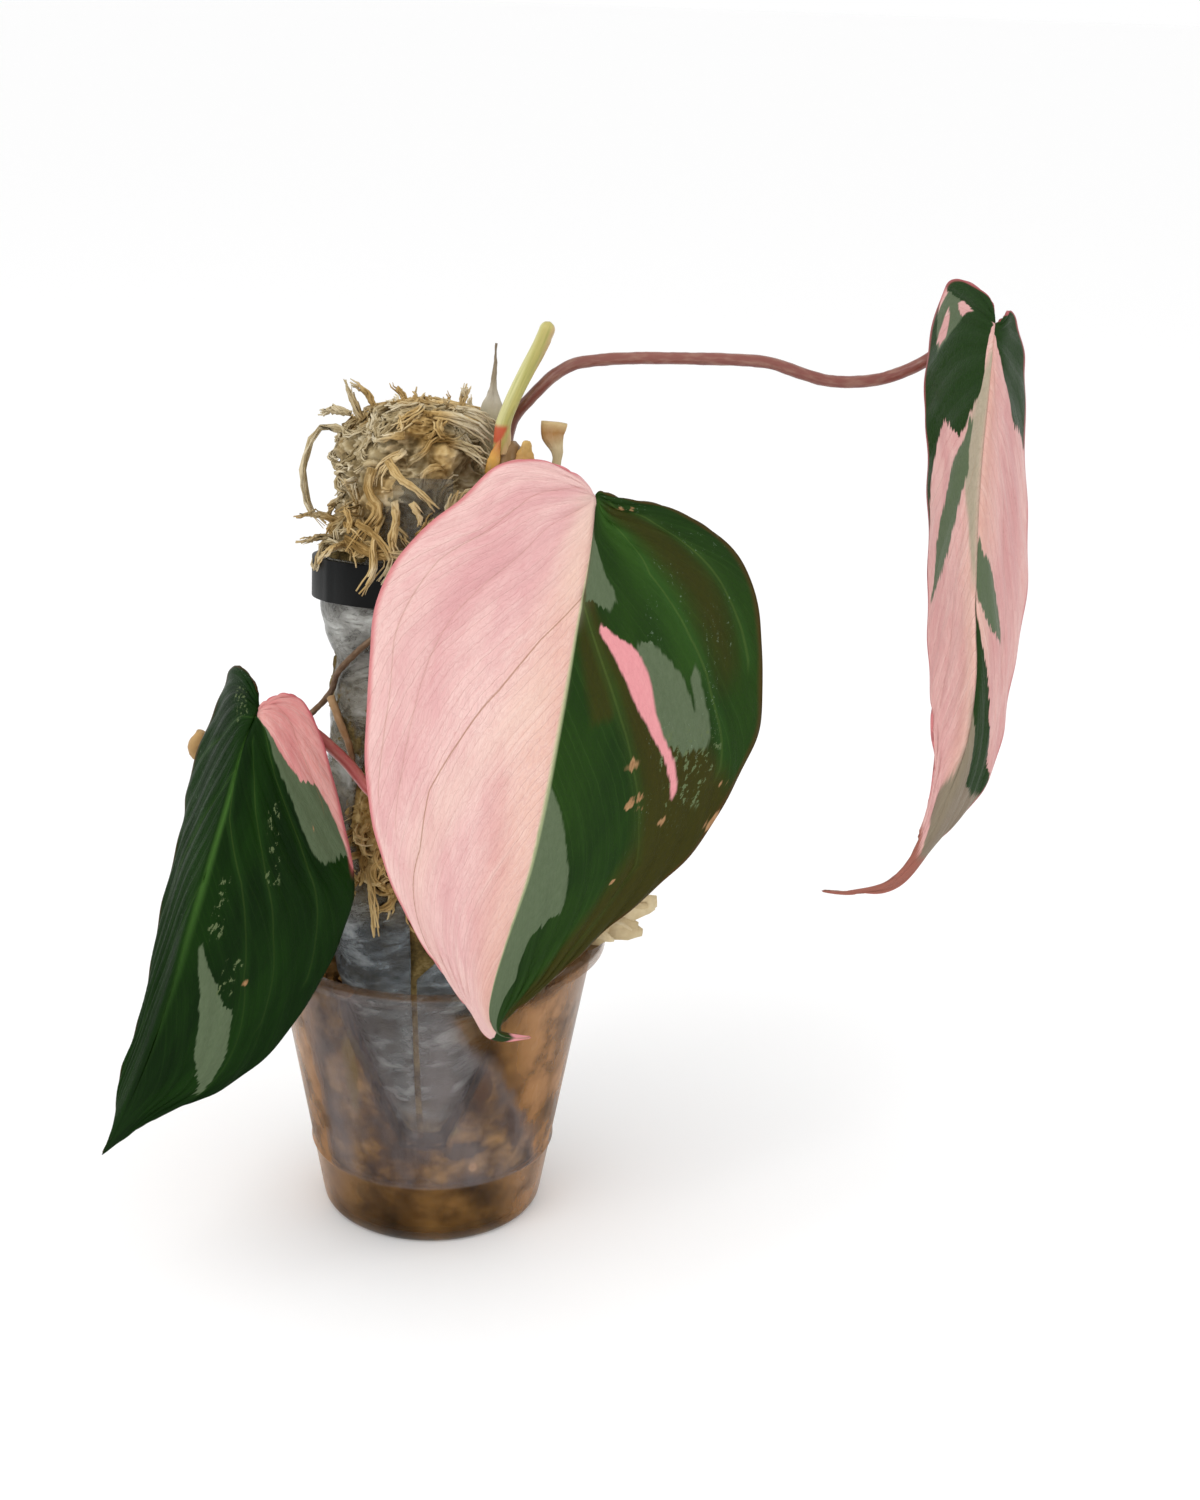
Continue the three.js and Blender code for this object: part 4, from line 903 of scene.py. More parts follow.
# leaves
# rows of a patch: (u, lowest v, highest v); veins: (u, v) along them
leafMarks = {
    "leaf_front": {
        "name": "frontLeaf", "across": 120, "along": 170, "lean": 0.566, "grooves": 0.42,
        "ground": (tint(24, 48, 8), tint(36, 62, 14)), "pink": (tint(212, 160, 160), tint(226, 186, 180)),
        "peach": tint(216, 172, 150), "rim": tint(196, 92, 100), "under": tint(150, 112, 96),
        "veinsGreen": [
            [(0.03, 0.45), (0.078, 0.5), (0.194, 0.527), (0.257, 0.52), (0.309, 0.567), (0.367, 0.64),
             (0.417, 0.72), (0.463, 0.773), (0.537, 0.867)],
            [(0.22, 0.0), (0.251, 0.047), (0.331, 0.16), (0.401, 0.26), (0.455, 0.34), (0.505, 0.4), (0.551, 0.48),
             (0.591, 0.553), (0.641, 0.673), (0.687, 0.7), (0.792, 0.82)],
            [(0.05, 0.8), (0.136, 0.793), (0.242, 0.813), (0.293, 0.84), (0.345, 0.867), (0.42, 0.93)],
        ],
        "veinsPink": [
            [(0.03, -0.62), (0.202, -0.693), (0.323, -0.833), (0.445, -0.88), (0.507, -0.88), (0.6, -0.93)],
            [(0.22, 0.0), (0.325, -0.193), (0.419, -0.327), (0.505, -0.487), (0.573, -0.627), (0.647, -0.693),
             (0.786, -0.96)],
            [(0.05, -0.3), (0.15, -0.4), (0.26, -0.52), (0.37, -0.64), (0.5, -0.74), (0.63, -0.84)],
        ],
        # the next pair places the painted highlight glints: which half, and the v they start from
        "pinkWeights": [0.3, 0.65, 0.22], "glintSpots": (1, 0.35),
        "patches": [
            {"kind": "lightGreen", "amount": 0.5, "jag": 0.2, "soft": 0.1, "rows": [
                (0.0, 0.3, 0.7), (0.1, 0.35, 0.6), (0.25, 0.42, 0.62), (0.4, 0.56, 0.72)]},
            {"kind": "pinkGround", "rows": [(0.0, -1.2, 0.0), (1.0, -1.2, 0.0)], "jag": 0.12},
            # painted shade: the next two darker pink bands stand in for the shade in the valleys between the pink
            # half's pleats
            {"kind": "pinkFoldShade", "amount": 0.75, "jag": 0.2, "soft": 0.09, "rows": [
                (0.06, -0.4, -0.22), (0.126, -0.43, -0.28), (0.212, -0.52, -0.34), (0.277, -0.65, -0.46),
                (0.343, -0.74, -0.56), (0.393, -0.8, -0.66), (0.47, -0.9, -0.8)]},
            {"kind": "pinkFoldShade", "amount": 0.45, "jag": 0.3, "soft": 0.09, "rows": [
                (0.15, -0.2, -0.06), (0.24, -0.33, -0.2), (0.343, -0.5, -0.38), (0.44, -0.62, -0.52)]},
            {"kind": "cream", "amount": 0.5, "jag": 0.3, "soft": 0.1, "rows": [
                (0.38, -0.2, -0.06), (0.437, -0.3, -0.14), (0.513, -0.45, -0.3), (0.573, -0.6, -0.42),
                (0.645, -0.74, -0.58), (0.713, -0.84, -0.72), (0.8, -0.9, -0.8)]},
            {"kind": "cream", "amount": 0.6, "jag": 0.3, "soft": 0.14, "rows": [
                (0.0, -0.7, 0.0), (0.06, -0.6, 0.0), (0.14, -0.34, 0.0), (0.22, -0.2, 0.0)]},
            {"kind": "bronze", "amount": 0.75, "jag": 0.6, "rows": [
                (0.3, 0.12, 0.16), (0.4, 0.27, 0.42), (0.5, 0.41, 0.74), (0.6, 0.56, 1.1), (0.8, 0.62, 1.2),
                (0.95, 0.5, 1.2)], "soft": 0.07},
            {"kind": "bronze", "amount": 0.6, "jag": 0.6, "soft": 0.08, "rows": [
                (0.12, 0.6, 0.78), (0.25, 0.6, 0.8), (0.35, 0.68, 0.84), (0.42, 0.78, 0.86)]},
            {"kind": "bronze", "amount": 0.6, "jag": 0.5, "soft": 0.03, "rows": [
                (0.22, 0.02, 0.1), (0.3, 0.03, 0.16), (0.42, 0.16, 0.27)]},
            {"kind": "sage", "rows": [
                (0.49, 0.0, 0.0), (0.551, 0.0, 0.1), (0.597, 0.0, 0.173), (0.633, 0.0, 0.24), (0.69, 0.0, 0.34),
                (0.702, 0.0, 0.24), (0.712, 0.0, 0.19), (0.752, 0.0, 0.2), (0.788, 0.0, 0.253), (0.826, 0.0, 0.22),
                (0.9, 0.0, 0.27), (0.955, 0.0, 0.3)]},
            {"kind": "green", "jag": 0.2, "rows": [(0.915, -0.06, 0.0), (0.93, -0.5, 0.0), (0.938, -1.2, 0.1),
                                                   (0.98, -1.2, 1.2)]},
            {"kind": "pinkStreak", "jag": 0.0, "rows": [(0.963, -1.2, 1.2), (1.0, -1.2, 1.2)]},
            {"kind": "sage", "rows": [
                (0.09, 0.03, 0.05), (0.144, 0.03, 0.147), (0.2, 0.03, 0.2), (0.235, 0.04, 0.25), (0.25, 0.12, 0.27),
                (0.267, 0.2, 0.275)]},
            {"kind": "sage", "rows": [
                (0.343, 0.36, 0.38), (0.35, 0.36, 0.45), (0.381, 0.4, 0.52), (0.411, 0.44, 0.6),
                (0.43, 0.46, 0.63), (0.447, 0.48, 0.65), (0.465, 0.5, 0.7), (0.485, 0.54, 0.72),
                (0.5, 0.62, 0.727)]},
            {"kind": "sage", "rows": [
                (0.405, 0.655, 0.665), (0.415, 0.64, 0.69), (0.44, 0.66, 0.71), (0.463, 0.68, 0.74),
                (0.49, 0.7, 0.76), (0.503, 0.73, 0.75)]},
            {"kind": "speckle", "rows": [(0.47, 0.5, 0.78), (0.52, 0.54, 0.84), (0.575, 0.66, 0.84)]},
            {"kind": "pinkStreak", "jag": 0.5, "rows": [
                (0.292, 0.15, 0.17), (0.3, 0.155, 0.21), (0.315, 0.185, 0.247), (0.333, 0.22, 0.31),
                (0.359, 0.265, 0.38), (0.411, 0.35, 0.447), (0.44, 0.41, 0.478), (0.465, 0.46, 0.513),
                (0.477, 0.487, 0.53), (0.51, 0.562, 0.6), (0.549, 0.64, 0.668), (0.558, 0.655, 0.668)]},
        ],
        "scars": [(0.497, 0.387, 1.5), (0.549, 0.487, 1.1), (0.552, 0.44, 0.8), (0.56, 0.5, 1.0), (0.587, 0.66, 1.1),
                  (0.135, 0.813, 1.5), (0.148, 0.86, 1.0), (0.557, 0.91, 0.9), (0.6, 0.99, 1.6), (0.661, 0.587, 0.4)],
    },
    "leaf_left": {
        "name": "leftLeaf", "across": 90, "along": 140, "lean": 0.5, "grooves": 0.3,
        "fine": 0.4, "specular": 0.07, "ground": (tint(13, 34, 2), tint(22, 48, 8)), "pink": (tint(208, 132, 130), tint(218, 152, 144)),
        "peach": tint(216, 146, 136), "rim": tint(192, 84, 94), "under": tint(120, 96, 76),
        "veinsGreen": [
            [(0.06, 0.3), (0.162, 0.353), (0.301, 0.493), (0.401, 0.653), (0.471, 0.74), (0.539, 0.813),
             (0.62, 0.9)],
            [(0.24, 0.02), (0.331, 0.073), (0.449, 0.267), (0.527, 0.353), (0.619, 0.467), (0.697, 0.653),
             (0.8, 0.85)],
            [(0.2, 0.2), (0.339, 0.313), (0.457, 0.44), (0.555, 0.56), (0.68, 0.76)],
            [(0.24, -0.02), (0.287, -0.133), (0.391, -0.42), (0.497, -0.653), (0.6, -0.9)],
            [(0.05, -0.1), (0.12, -0.213), (0.279, -0.56), (0.377, -0.92)],
            [(0.42, 0.0), (0.535, -0.17), (0.64, -0.42), (0.76, -0.8)],
        ],
        "veinsPink": [[(0.05, 0.75), (0.16, 0.72), (0.26, 0.76), (0.36, 0.86)]],
        # the next pair places the painted highlight glints: which half, and the v they start from
        "pinkWeights": [0.3], "glintSpots": (-1, 0.1),
        "patches": [
            {"kind": "sage", "rows": [
                (0.1, 0.25, 0.34), (0.2, 0.41, 0.47), (0.273, 0.5, 0.62), (0.321, 0.585, 0.76), (0.335, 0.613, 0.88),
                (0.367, 0.66, 0.93), (0.411, 0.733, 0.97), (0.43, 0.775, 0.98), (0.437, 0.8, 0.93)]},
            {"kind": "pinkGround", "jag": 0.7, "rows": [
                (0.0, 0.2, 1.2), (0.05, 0.22, 1.2), (0.142, 0.333, 1.2), (0.265, 0.56, 1.2), (0.321, 0.713, 1.2),
                (0.337, 0.847, 1.2), (0.367, 0.907, 1.2), (0.413, 0.96, 1.2), (0.455, 0.99, 1.2)]},
            {"kind": "sage", "rows": [
                (0.56, 0.1, 0.12), (0.609, 0.14, 0.215), (0.663, 0.24, 0.407), (0.667, 0.25, 0.493),
                (0.713, 0.355, 0.627), (0.743, 0.427, 0.7), (0.772, 0.61, 0.773), (0.8, 0.8, 0.85)]},
            {"kind": "speckle", "rows": [(0.34, 0.42, 0.52), (0.46, 0.42, 0.52)]},
            {"kind": "speckle", "rows": [(0.44, 0.11, 0.19), (0.54, 0.13, 0.22)]},
            {"kind": "speckle", "rows": [(0.59, 0.3, 0.42), (0.645, 0.33, 0.45)]},
            {"kind": "speckle", "rows": [(0.13, -0.7, -0.3), (0.2, -0.72, -0.32)]},
        ],
        "scars": [(0.629, 0.493, 1.2), (0.39, 0.78, 0.8)],
    },
    "leaf_right": {
        "name": "rightLeaf", "across": 80, "along": 170, "lean": 0.3, "grooves": 0.22,
        "ground": (tint(202, 148, 142), tint(214, 164, 156)), "pink": (tint(203, 148, 146), tint(214, 164, 158)),
        "peach": tint(210, 168, 148), "rim": tint(192, 98, 104), "under": tint(160, 120, 104),
        "veinsGreen": [],
        "veinsPink": [
            [(0.0, 0.0), (0.5, 0.0), (0.95, 0.0)],
            [(0.1, 0.1), (0.25, 0.3), (0.42, 0.52), (0.6, 0.72)],
            [(0.3, -0.1), (0.45, -0.35), (0.6, -0.6), (0.72, -0.8)],
        ],
        "pinkWeights": [0.6, 0.25, 0.25],
        "patches": [
            {"kind": "pinkGround", "rows": [(0.0, -1.3, 1.3), (1.0, -1.3, 1.3)]},
            {"kind": "paleSage", "soft": 0.05, "amount": 0.8, "rows": [
                (0.1, -0.1, -0.02), (0.166, -0.16, -0.02), (0.25, -0.24, -0.02), (0.3, -0.3, -0.02),
                (0.349, -0.27, -0.02), (0.43, -0.08, -0.02)]},
            {"kind": "sage", "rows": [
                (0.04, -0.95, -0.6), (0.1, -0.95, -0.62), (0.15, -0.97, -0.66), (0.2, -0.95, -0.68),
                (0.25, -0.97, -0.72), (0.299, -0.98, -0.8)]},
            {"kind": "pinkGround", "rows": [(0.128, -0.74, -0.62), (0.145, -0.8, -0.6), (0.168, -0.8, -0.7)]},
            {"kind": "green", "rows": [(0.0, -1.3, -0.45), (0.08, -1.3, -0.5), (0.104, -1.3, -0.54),
                                       (0.136, -1.3, -0.75), (0.176, -1.3, -0.88), (0.19, -1.3, -0.97)]},
            {"kind": "pinkGround", "rows": [(0.205, -0.86, -0.82), (0.23, -0.88, -0.78), (0.25, -0.9, -0.84)]},
            {"kind": "green", "rows": [
                (0.06, -0.55, -0.4), (0.076, -0.6, -0.3), (0.11, -0.64, -0.2), (0.152, -0.67, -0.14),
                (0.198, -0.707, -0.16), (0.232, -0.76, -0.22), (0.262, -0.86, -0.28), (0.287, -0.93, -0.33),
                (0.305, -0.97, -0.4), (0.315, -0.97, -0.62), (0.345, -0.97, -0.72), (0.387, -0.97, -0.84),
                (0.42, -0.98, -0.93)]},
            {"kind": "green", "rows": [
                (0.22, -1.3, -0.98), (0.25, -1.3, -0.9), (0.28, -1.3, -0.78), (0.305, -1.3, -0.73),
                (0.36, -1.3, -0.81), (0.421, -1.3, -0.893), (0.503, -1.3, -0.985), (0.58, -1.3, -1.0)]},
            {"kind": "sage", "rows": [
                (0.255, -0.25, -0.2), (0.297, -0.307, -0.2), (0.325, -0.39, -0.2), (0.36, -0.49, -0.27),
                (0.393, -0.58, -0.36), (0.43, -0.66, -0.45), (0.469, -0.753, -0.55), (0.5, -0.82, -0.67),
                (0.555, -0.94, -0.92)]},
            {"kind": "green", "rows": [
                (0.0, 0.25, 1.3), (0.098, 0.287, 1.3), (0.164, 0.427, 1.3), (0.22, 0.52, 1.3), (0.309, 0.687, 1.3),
                (0.333, 0.9, 1.3), (0.35, 1.0, 1.3)]},
            {"kind": "sage", "rows": [
                (0.395, 0.0, 0.05), (0.411, 0.0, 0.15), (0.427, 0.01, 0.26), (0.45, 0.05, 0.35), (0.475, 0.18, 0.45),
                (0.491, 0.33, 0.513), (0.503, 0.5, 0.535)]},
            {"kind": "sage", "soft": 0.05, "amount": 0.75, "rows": [
                (0.58, -0.05, 0.1), (0.627, -0.04, 0.273), (0.663, -0.073, 0.42), (0.68, -0.14, 1.0),
                (0.7, -0.25, 1.3), (0.737, -0.427, 1.3), (0.76, -0.35, 1.3), (0.785, -0.1, 1.3), (0.815, 0.2, 0.9)]},
            {"kind": "green", "rows": [
                (0.43, -0.02, 0.01), (0.455, -0.03, 0.03), (0.497, -0.03, 0.08), (0.53, -0.02, 0.22),
                (0.567, 0.0, 0.373), (0.6, 0.08, 0.5), (0.64, 0.22, 0.8), (0.673, 0.387, 1.1), (0.682, 0.7, 1.1)]},
            {"kind": "brownTip", "soft": 0.03, "rows": [(0.8, -1.3, 1.3), (0.9, -1.3, 1.3), (1.0, -1.3, 1.3)]},
        ],
        "scars": [],
    },
}
patchTints = {
    "bronze": (tint(50, 44, 4), tint(66, 56, 10)), "sage": (tint(78, 92, 66), tint(96, 108, 84)),
    "paleSage": (tint(128, 134, 108), tint(172, 164, 142)), "speckle": (tint(78, 94, 62), tint(104, 114, 80)),
    "pinkStreak": (tint(212, 134, 140), tint(222, 152, 154)), "green": (tint(24, 46, 14), tint(40, 64, 28)),
    "brownTip": (tint(140, 88, 76), tint(166, 106, 92)), "lightGreen": (tint(46, 80, 24), tint(58, 92, 34)),
    # the darker pink tints are painted shade for the pleat valleys
    "pinkFoldShade": (tint(198, 138, 142), tint(206, 150, 152)), "cream": (tint(224, 196, 176), tint(226, 204, 184)),
}
veinDepth = 0.9  # millimetres, half width of a sunken vein


def veinAt(vein, u):
    # v of a vein at u and how strong it is there
    strength = rising(u, vein[0][0] - 0.02, vein[0][0] + 0.02) * (1 - rising(u, vein[-1][0] - 0.04, vein[-1][0] + 0.01))
    return between(vein, u), strength


def makeLeaf(node):
    shape, marks = leafShapes[node], leafMarks[node]
    piece = addGrid(marks["name"], marks["across"], marks["along"], lambda s, t: bladePoint(shape, t, 2 * s - 1))
    veins = marks["veinsGreen"] + marks["veinsPink"]
    across, along = marks["across"] + 1, marks["along"] + 1
    points = piece.data.vertices
    widths = [[(points[r * across + k].co - points[r * across + across // 2].co).length / mm for k in (0, across - 1)]
              for r in range(along)]
    lifts = []
    for i, vertex in enumerate(points):
        row, column = divmod(i, across)
        u, v = row / marks["along"], 2 * column / marks["across"] - 1
        width = widths[row][0 if v < 0 else 1]
        middle = abs(v) * width
        ends = rising(u, 0.0, 0.06) * (1 - rising(u, 0.9, 1.0))
        lift = -0.5 * math.exp(-(middle / 1.1) ** 2)  # the midrib's channel
        for vein in veins:
            place, strength = veinAt(vein, u)
            lift -= marks["grooves"] * strength * math.exp(-((v - place) * width / veinDepth) ** 2)
        family = (u - marks["lean"] * abs(v)) * 14
        lift += 0.22 * math.sin(family * 2 * math.pi) * rising(middle, 2, 8)
        lift += 0.5 * noise.noise(Vector((u * 5, v * 2.2, 3.1))) * rising(middle, 1, 8)
        lift += 0.8 * rising(abs(v), 0.75, 1.0) * math.sin(u * 31 + (2 if v < 0 else 0)) * 0.6
        lifts.append(lift * ends)
    normals = [vertex.normal.copy() for vertex in points]
    facing = bladeAxes(shape)[2]
    for vertex, normal, lift in zip(points, normals, lifts):
        vertex.co += normal * (1 if normal.dot(facing) > 0 else -1) * lift * mm
    select(piece)
    bpy.ops.object.mode_set(mode="EDIT")
    bpy.ops.mesh.select_all(action="SELECT")
    bpy.ops.mesh.remove_doubles(threshold=2e-6)
    bpy.ops.object.mode_set(mode="OBJECT")
    piece.data.materials.append(paintLeaf(node, False))
    piece.data.materials.append(paintLeaf(node, True))
    for face in piece.data.polygons:
        if face.area > 1e-9 and face.normal.dot(facing) < -0.3:
            piece.data.flip_normals()
            break
    addModifier(piece, "SOLIDIFY", {"thickness": bladeThickness * mm, "offset": 0, "material_offset": 1})
    return piece


def paintLeaf(node, under):
    marks = leafMarks[node]
    paint = Paint(marks["name"] + ("Back" if under else "Skin"))
    s, u, _ = paint.split(paint.coordinates("UV"))
    v = s * 2 - 1
    fromMidrib = abs(v)
    family = u - fromMidrib * marks["lean"]
    fingers = paint.speckle(paint.gather(u * 6, v * 34), 1.0, 3.0, 0.6) - 0.5
    ripples = paint.speckle(paint.gather(u * 40, v * 6), 1.0, 2.0) - 0.5
    broad = paint.speckle(paint.gather(u * 3, v * 2.5), 1.0, 3.0, 0.55)
    grain = paint.speckle(paint.gather(u * 90, v * 40), 1.0, 3.0, 0.7)
    streaks = paint.speckle(paint.gather(family * 60, v * 3), 1.0, 4.0, 0.6)
    lines = abs((family * 150 + ripples * 1.2).maths("SINE"))
    threads = (1 - paint.rise(lines, 0.0, 0.22)) * paint.rise(streaks, 0.35, 0.6)
    veinlets = paint.gather(family * 120 + ripples * 3, v * 46 + fingers * 3)
    net = 1 - paint.rise(paint.cells(veinlets, 1.0, "DISTANCE_TO_EDGE"), 0.0, 0.1)
    cellSheen = paint.rise(paint.cells(veinlets, 1.0), 0.15, 0.75)

    green = paint.blend(paint.rise(broad, 0.3, 0.7), *marks["ground"])
    fine = marks.get("fine", 1.0)
    green = paint.blend(paint.rise(streaks, 0.45, 0.75) * (0.35 * fine), green, tint(44, 72, 26))
    green = paint.blend(threads * (0.2 * fine), green, tint(66, 92, 44))
    green = paint.blend(net * 0.12, green, tint(14, 30, 6))

    pink = paint.blend(paint.rise(broad, 0.35, 0.68), *marks["pink"])
    pink = paint.blend((1 - paint.rise(fromMidrib, 0.02, 0.42)) * 0.6, pink, marks["peach"])
    pink = paint.blend(paint.rise(streaks, 0.5, 0.75) * 0.35, pink, tint(232, 204, 194))
    # painted highlight: the middle of each cell of the veinlet net is lighter, as if its dome caught the light
    pink = paint.blend(cellSheen * paint.rise(broad, 0.3, 0.6) * 0.22, pink, tint(238, 214, 206))
    pink = paint.blend(net * 0.2, pink, tint(186, 108, 110))
    pink = paint.blend(threads * 0.4, pink, tint(150, 96, 84))

    colour = green
    for patch in marks["patches"]:
        rows = patch["rows"]
        jag = patch.get("jag", 1.0)
        soft = patch.get("soft", 0.008)
        bentU = u + fingers * (0.035 * jag)
        bentV = v + ripples * (0.03 * jag) + fingers * (0.02 * jag)
        stops = [(row[0], ((row[1] + 1.5) / 3, (row[2] + 1.5) / 3, 1, 1)) for row in rows]
        fade = soft * 0.5
        if rows[0][0] > fade:
            stops.insert(0, (rows[0][0] - fade, stops[0][1][:2] + (0, 1)))
        if rows[-1][0] < 1 - fade:
            stops.append((rows[-1][0] + fade, stops[-1][1][:2] + (0, 1)))
        lowest, highest, here = paint.split(paint.ramp(bentU, stops))
        mask = paint.rise(bentV - (lowest * 3 - 1.5), -soft, soft)
        mask = mask * paint.rise(highest * 3 - 1.5 - bentV, -soft, soft) * here
        if patch["kind"] == "speckle":
            mask = mask * paint.rise(paint.speckle(paint.gather(u * 58, v * 22), 1.0, 4.0, 0.7), 0.56, 0.6)
        inside = pink if patch["kind"] == "pinkGround" else paint.blend(grain, *patchTints[patch["kind"]])
        # the painted fold shade and the cream bands keep half of the pink under them
        if patch["kind"] in ("pinkFoldShade", "cream"):
            inside = paint.blend(0.5, inside, pink)
        colour = paint.blend(mask * patch.get("amount", 1.0), colour, inside)

    fading = 1 - paint.rise(u, 0.25, 0.8) * 0.65
    for vein in marks["veinsGreen"]:
        colour = paint.blend(veinMask(paint, u, v, vein, 0.045) * fading * (0.1 + 0.14 * fine), colour, tint(52, 88, 38))
        colour = paint.blend(veinMask(paint, u, v, vein, 0.009) * fading * (0.08 + 0.16 * fine), colour, tint(94, 114, 56))
    for vein, weight in zip(marks["veinsPink"], marks["pinkWeights"]):
        colour = paint.blend(veinMask(paint, u, v, vein, 0.006) * weight, colour, tint(150, 108, 78))
    if "glintSpots" in marks:
        # painted highlight: small pale glints on the dark skin, standing in for wet spots catching the light
        glints = paint.rise(paint.speckle(paint.gather(u * 150, v * 60), 1.0, 3.0, 0.8), 0.62, 0.67)
        where = paint.rise(v * marks["glintSpots"][0], marks["glintSpots"][1], marks["glintSpots"][1] + 0.2) * (1 - paint.rise(u, 0.45, 0.7))
        where = where * paint.rise(paint.speckle(paint.gather(u * 9, v * 5 + 7), 1.0, 2.0), 0.5, 0.62)
        colour = paint.blend(glints * where * 0.55, colour, tint(148, 168, 146))
    if node == "leaf_left":
        middle = (1 - paint.rise(fromMidrib, 0.01, 0.06)) * (1 - paint.rise(u, 0.1, 0.9))
        colour = paint.blend(middle * 0.8, colour, tint(74, 112, 50))
    else:
        middle = (1 - paint.rise(fromMidrib, 0.004, 0.02)) * (1 - paint.rise(u, 0.5, 0.95) * 0.5)
        colour = paint.blend(middle * 0.6, colour, tint(176, 184, 140))
    isRight = paint.rise(v, -0.02, 0.02)
    rim = paint.rise(fromMidrib, 0.965, 0.995)
    if node != "leaf_right":
        pinkRim, darkRim = (1 - isRight, isRight) if node == "leaf_front" else (isRight, 1 - isRight)
        colour = paint.blend(rim * darkRim * 0.5, colour, tint(86, 52, 28))
        rim = rim * pinkRim
    if node == "leaf_left":
        rim = rim * (1 - paint.rise(u, 0.44, 0.48))
    colour = paint.blend(rim * 0.7, colour, marks["rim"])
    for scarU, scarV, size in marks["scars"]:
        away = ((u - scarU) ** 2 * 26000 + (v - scarV) ** 2 * 1700) ** 0.5 + fingers * 5 + ripples * 3
        colour = paint.blend(1 - paint.rise(away, size * 0.4, size), colour, paint.blend(
            grain, tint(104, 66, 30), tint(192, 152, 112)))
    if under:
        colour = paint.blend(0.55, colour, marks["under"])
    relief = lines * 0.3 + grain * 0.2 - net * 0.3 + streaks * 0.5
    return paint.dress({
        "Base Color": colour, "Roughness": 0.3 + grain * 0.16 + (0.14 if under else 0.0),
        "Normal": paint.bump(relief, 0.0005, 0.45), "Specular IOR Level": marks.get("specular", 0.12)})


def veinMask(paint, u, v, vein, width):
    stops = [(at, ((place + 1.5) / 3, 1, 0, 1)) for at, place in vein]
    if vein[0][0] > 0.02:
        stops.insert(0, (vein[0][0] - 0.02, stops[0][1][:1] + (0, 0, 1)))
    if vein[-1][0] < 0.97:
        stops.append((vein[-1][0] + 0.02, stops[-1][1][:1] + (0, 0, 1)))
    place, here, _ = paint.split(paint.ramp(u, stops))
    return (1 - paint.rise(abs(v - (place * 3 - 1.5)), width * 0.25, width)) * here


for node in leafShapes:
    finishPiece(makeLeaf(node), node, None)
print("leaves made")

# moss
moss = {
    "seed": 7, "shiftX": -4.5, "locks": 210, "inLock": 8, "tips": 44, "slitLocks": 50, "swell": 3.2,
    "crown": [(199, 30.8), (204, 30.2), (212, 29.8), (220, 30.4), (228, 30), (234, 27.5), (238.5, 22), (241, 12)],
    "climb": [(0, 199), (0.55, 231), (0.68, 236.5), (0.8, 239.5), (1, 241.5)],  # share of the way up, and height
    "climbLength": 62,
    "named": [
        ([(-20, 4, 231), (-23.4, 5.4, 238), (-25.4, 6, 244)], 2.2),
        ([(-17, 4, 236), (-20, 5.4, 240.5), (-24.6, 6, 243)], 1.8),
        ([(-8, 5, 236), (-10.6, 6, 240.5), (-13, 6.4, 243.4)], 1.8),
        ([(5, 1, 236), (6.6, 1.6, 240), (7.2, 2, 244.2)], 1.6),
        ([(-24, 3, 230), (-32, 3.6, 231), (-36.6, 3, 221), (-36, 2, 211), (-32.4, 1, 205), (-27, 1, 203)], 1.9),
        ([(-24, 3, 235), (-29, 3.6, 236), (-33, 3, 234.6)], 1.8),
        ([(-26, -2, 206), (-32.5, -5, 209), (-38, -7, 208.5)], 1.4),
        ([(-26, -8, 203), (-31, -13.5, 204.3), (-36.4, -16, 204)], 1.4),
        ([(-22, -19, 205), (-26, -24, 204), (-29.5, -27, 201)], 1.6),
        ([(-12, -24, 214), (-14, -31, 208.5), (-13.4, -36.4, 202), (-16.8, -37.8, 196)], 1.4),
        # in front of the loose film
        ([(-11, -24, 228), (-7.5, -28.5, 224.6), (-3.1, -29.6, 221.9), (-0.3, -29.8, 219), (2, -29.6, 216.4)], 1.5),
        ([(-15.2, -24, 226), (-16, -25.5, 220.5), (-13, -27, 215.6), (-17.9, -27, 208.7), (-21, -27, 204)], 1.9),
        ([(-9, -27, 218), (-8.2, -30.2, 214), (-9, -32.4, 209), (-8, -33.6, 204.6)], 1.6),
        ([(-22, -25, 207), (-14, -31, 205), (-6, -34, 205.4), (2, -35.4, 204.4)], 2.0),
        ([(-19, -26, 212), (-13, -31, 209), (-9.6, -34, 203.6), (-12.4, -36, 199)], 1.6),
        # in front of the dry sheath
        ([(-3, -15, 238.4), (6, -17.4, 238), (13.6, -16.6, 234), (18, -17, 228.6)], 2.2),
        ([(3, -19, 233), (10, -20.6, 231.4), (16, -20.4, 226.4)], 2.2),
        ([(6, -12, 240), (11, -13.6, 239.4), (16.4, -13.6, 235.4)], 1.8),
        ([(-14, -30, 122), (-14.6, -37.6, 119.4), (-13.4, -41.4, 112), (-12.6, -43.4, 102)], 1.8),
        ([(-18, -26, 126), (-21.4, -32.4, 124), (-20.6, -38, 120.6), (-17.4, -41, 117.4)], 1.5),
        ([(-8, -32, 118), (-6, -39.6, 117.6), (-5, -43.4, 113.4)], 1.5),
    ],
}
chance = random.Random(moss["seed"])


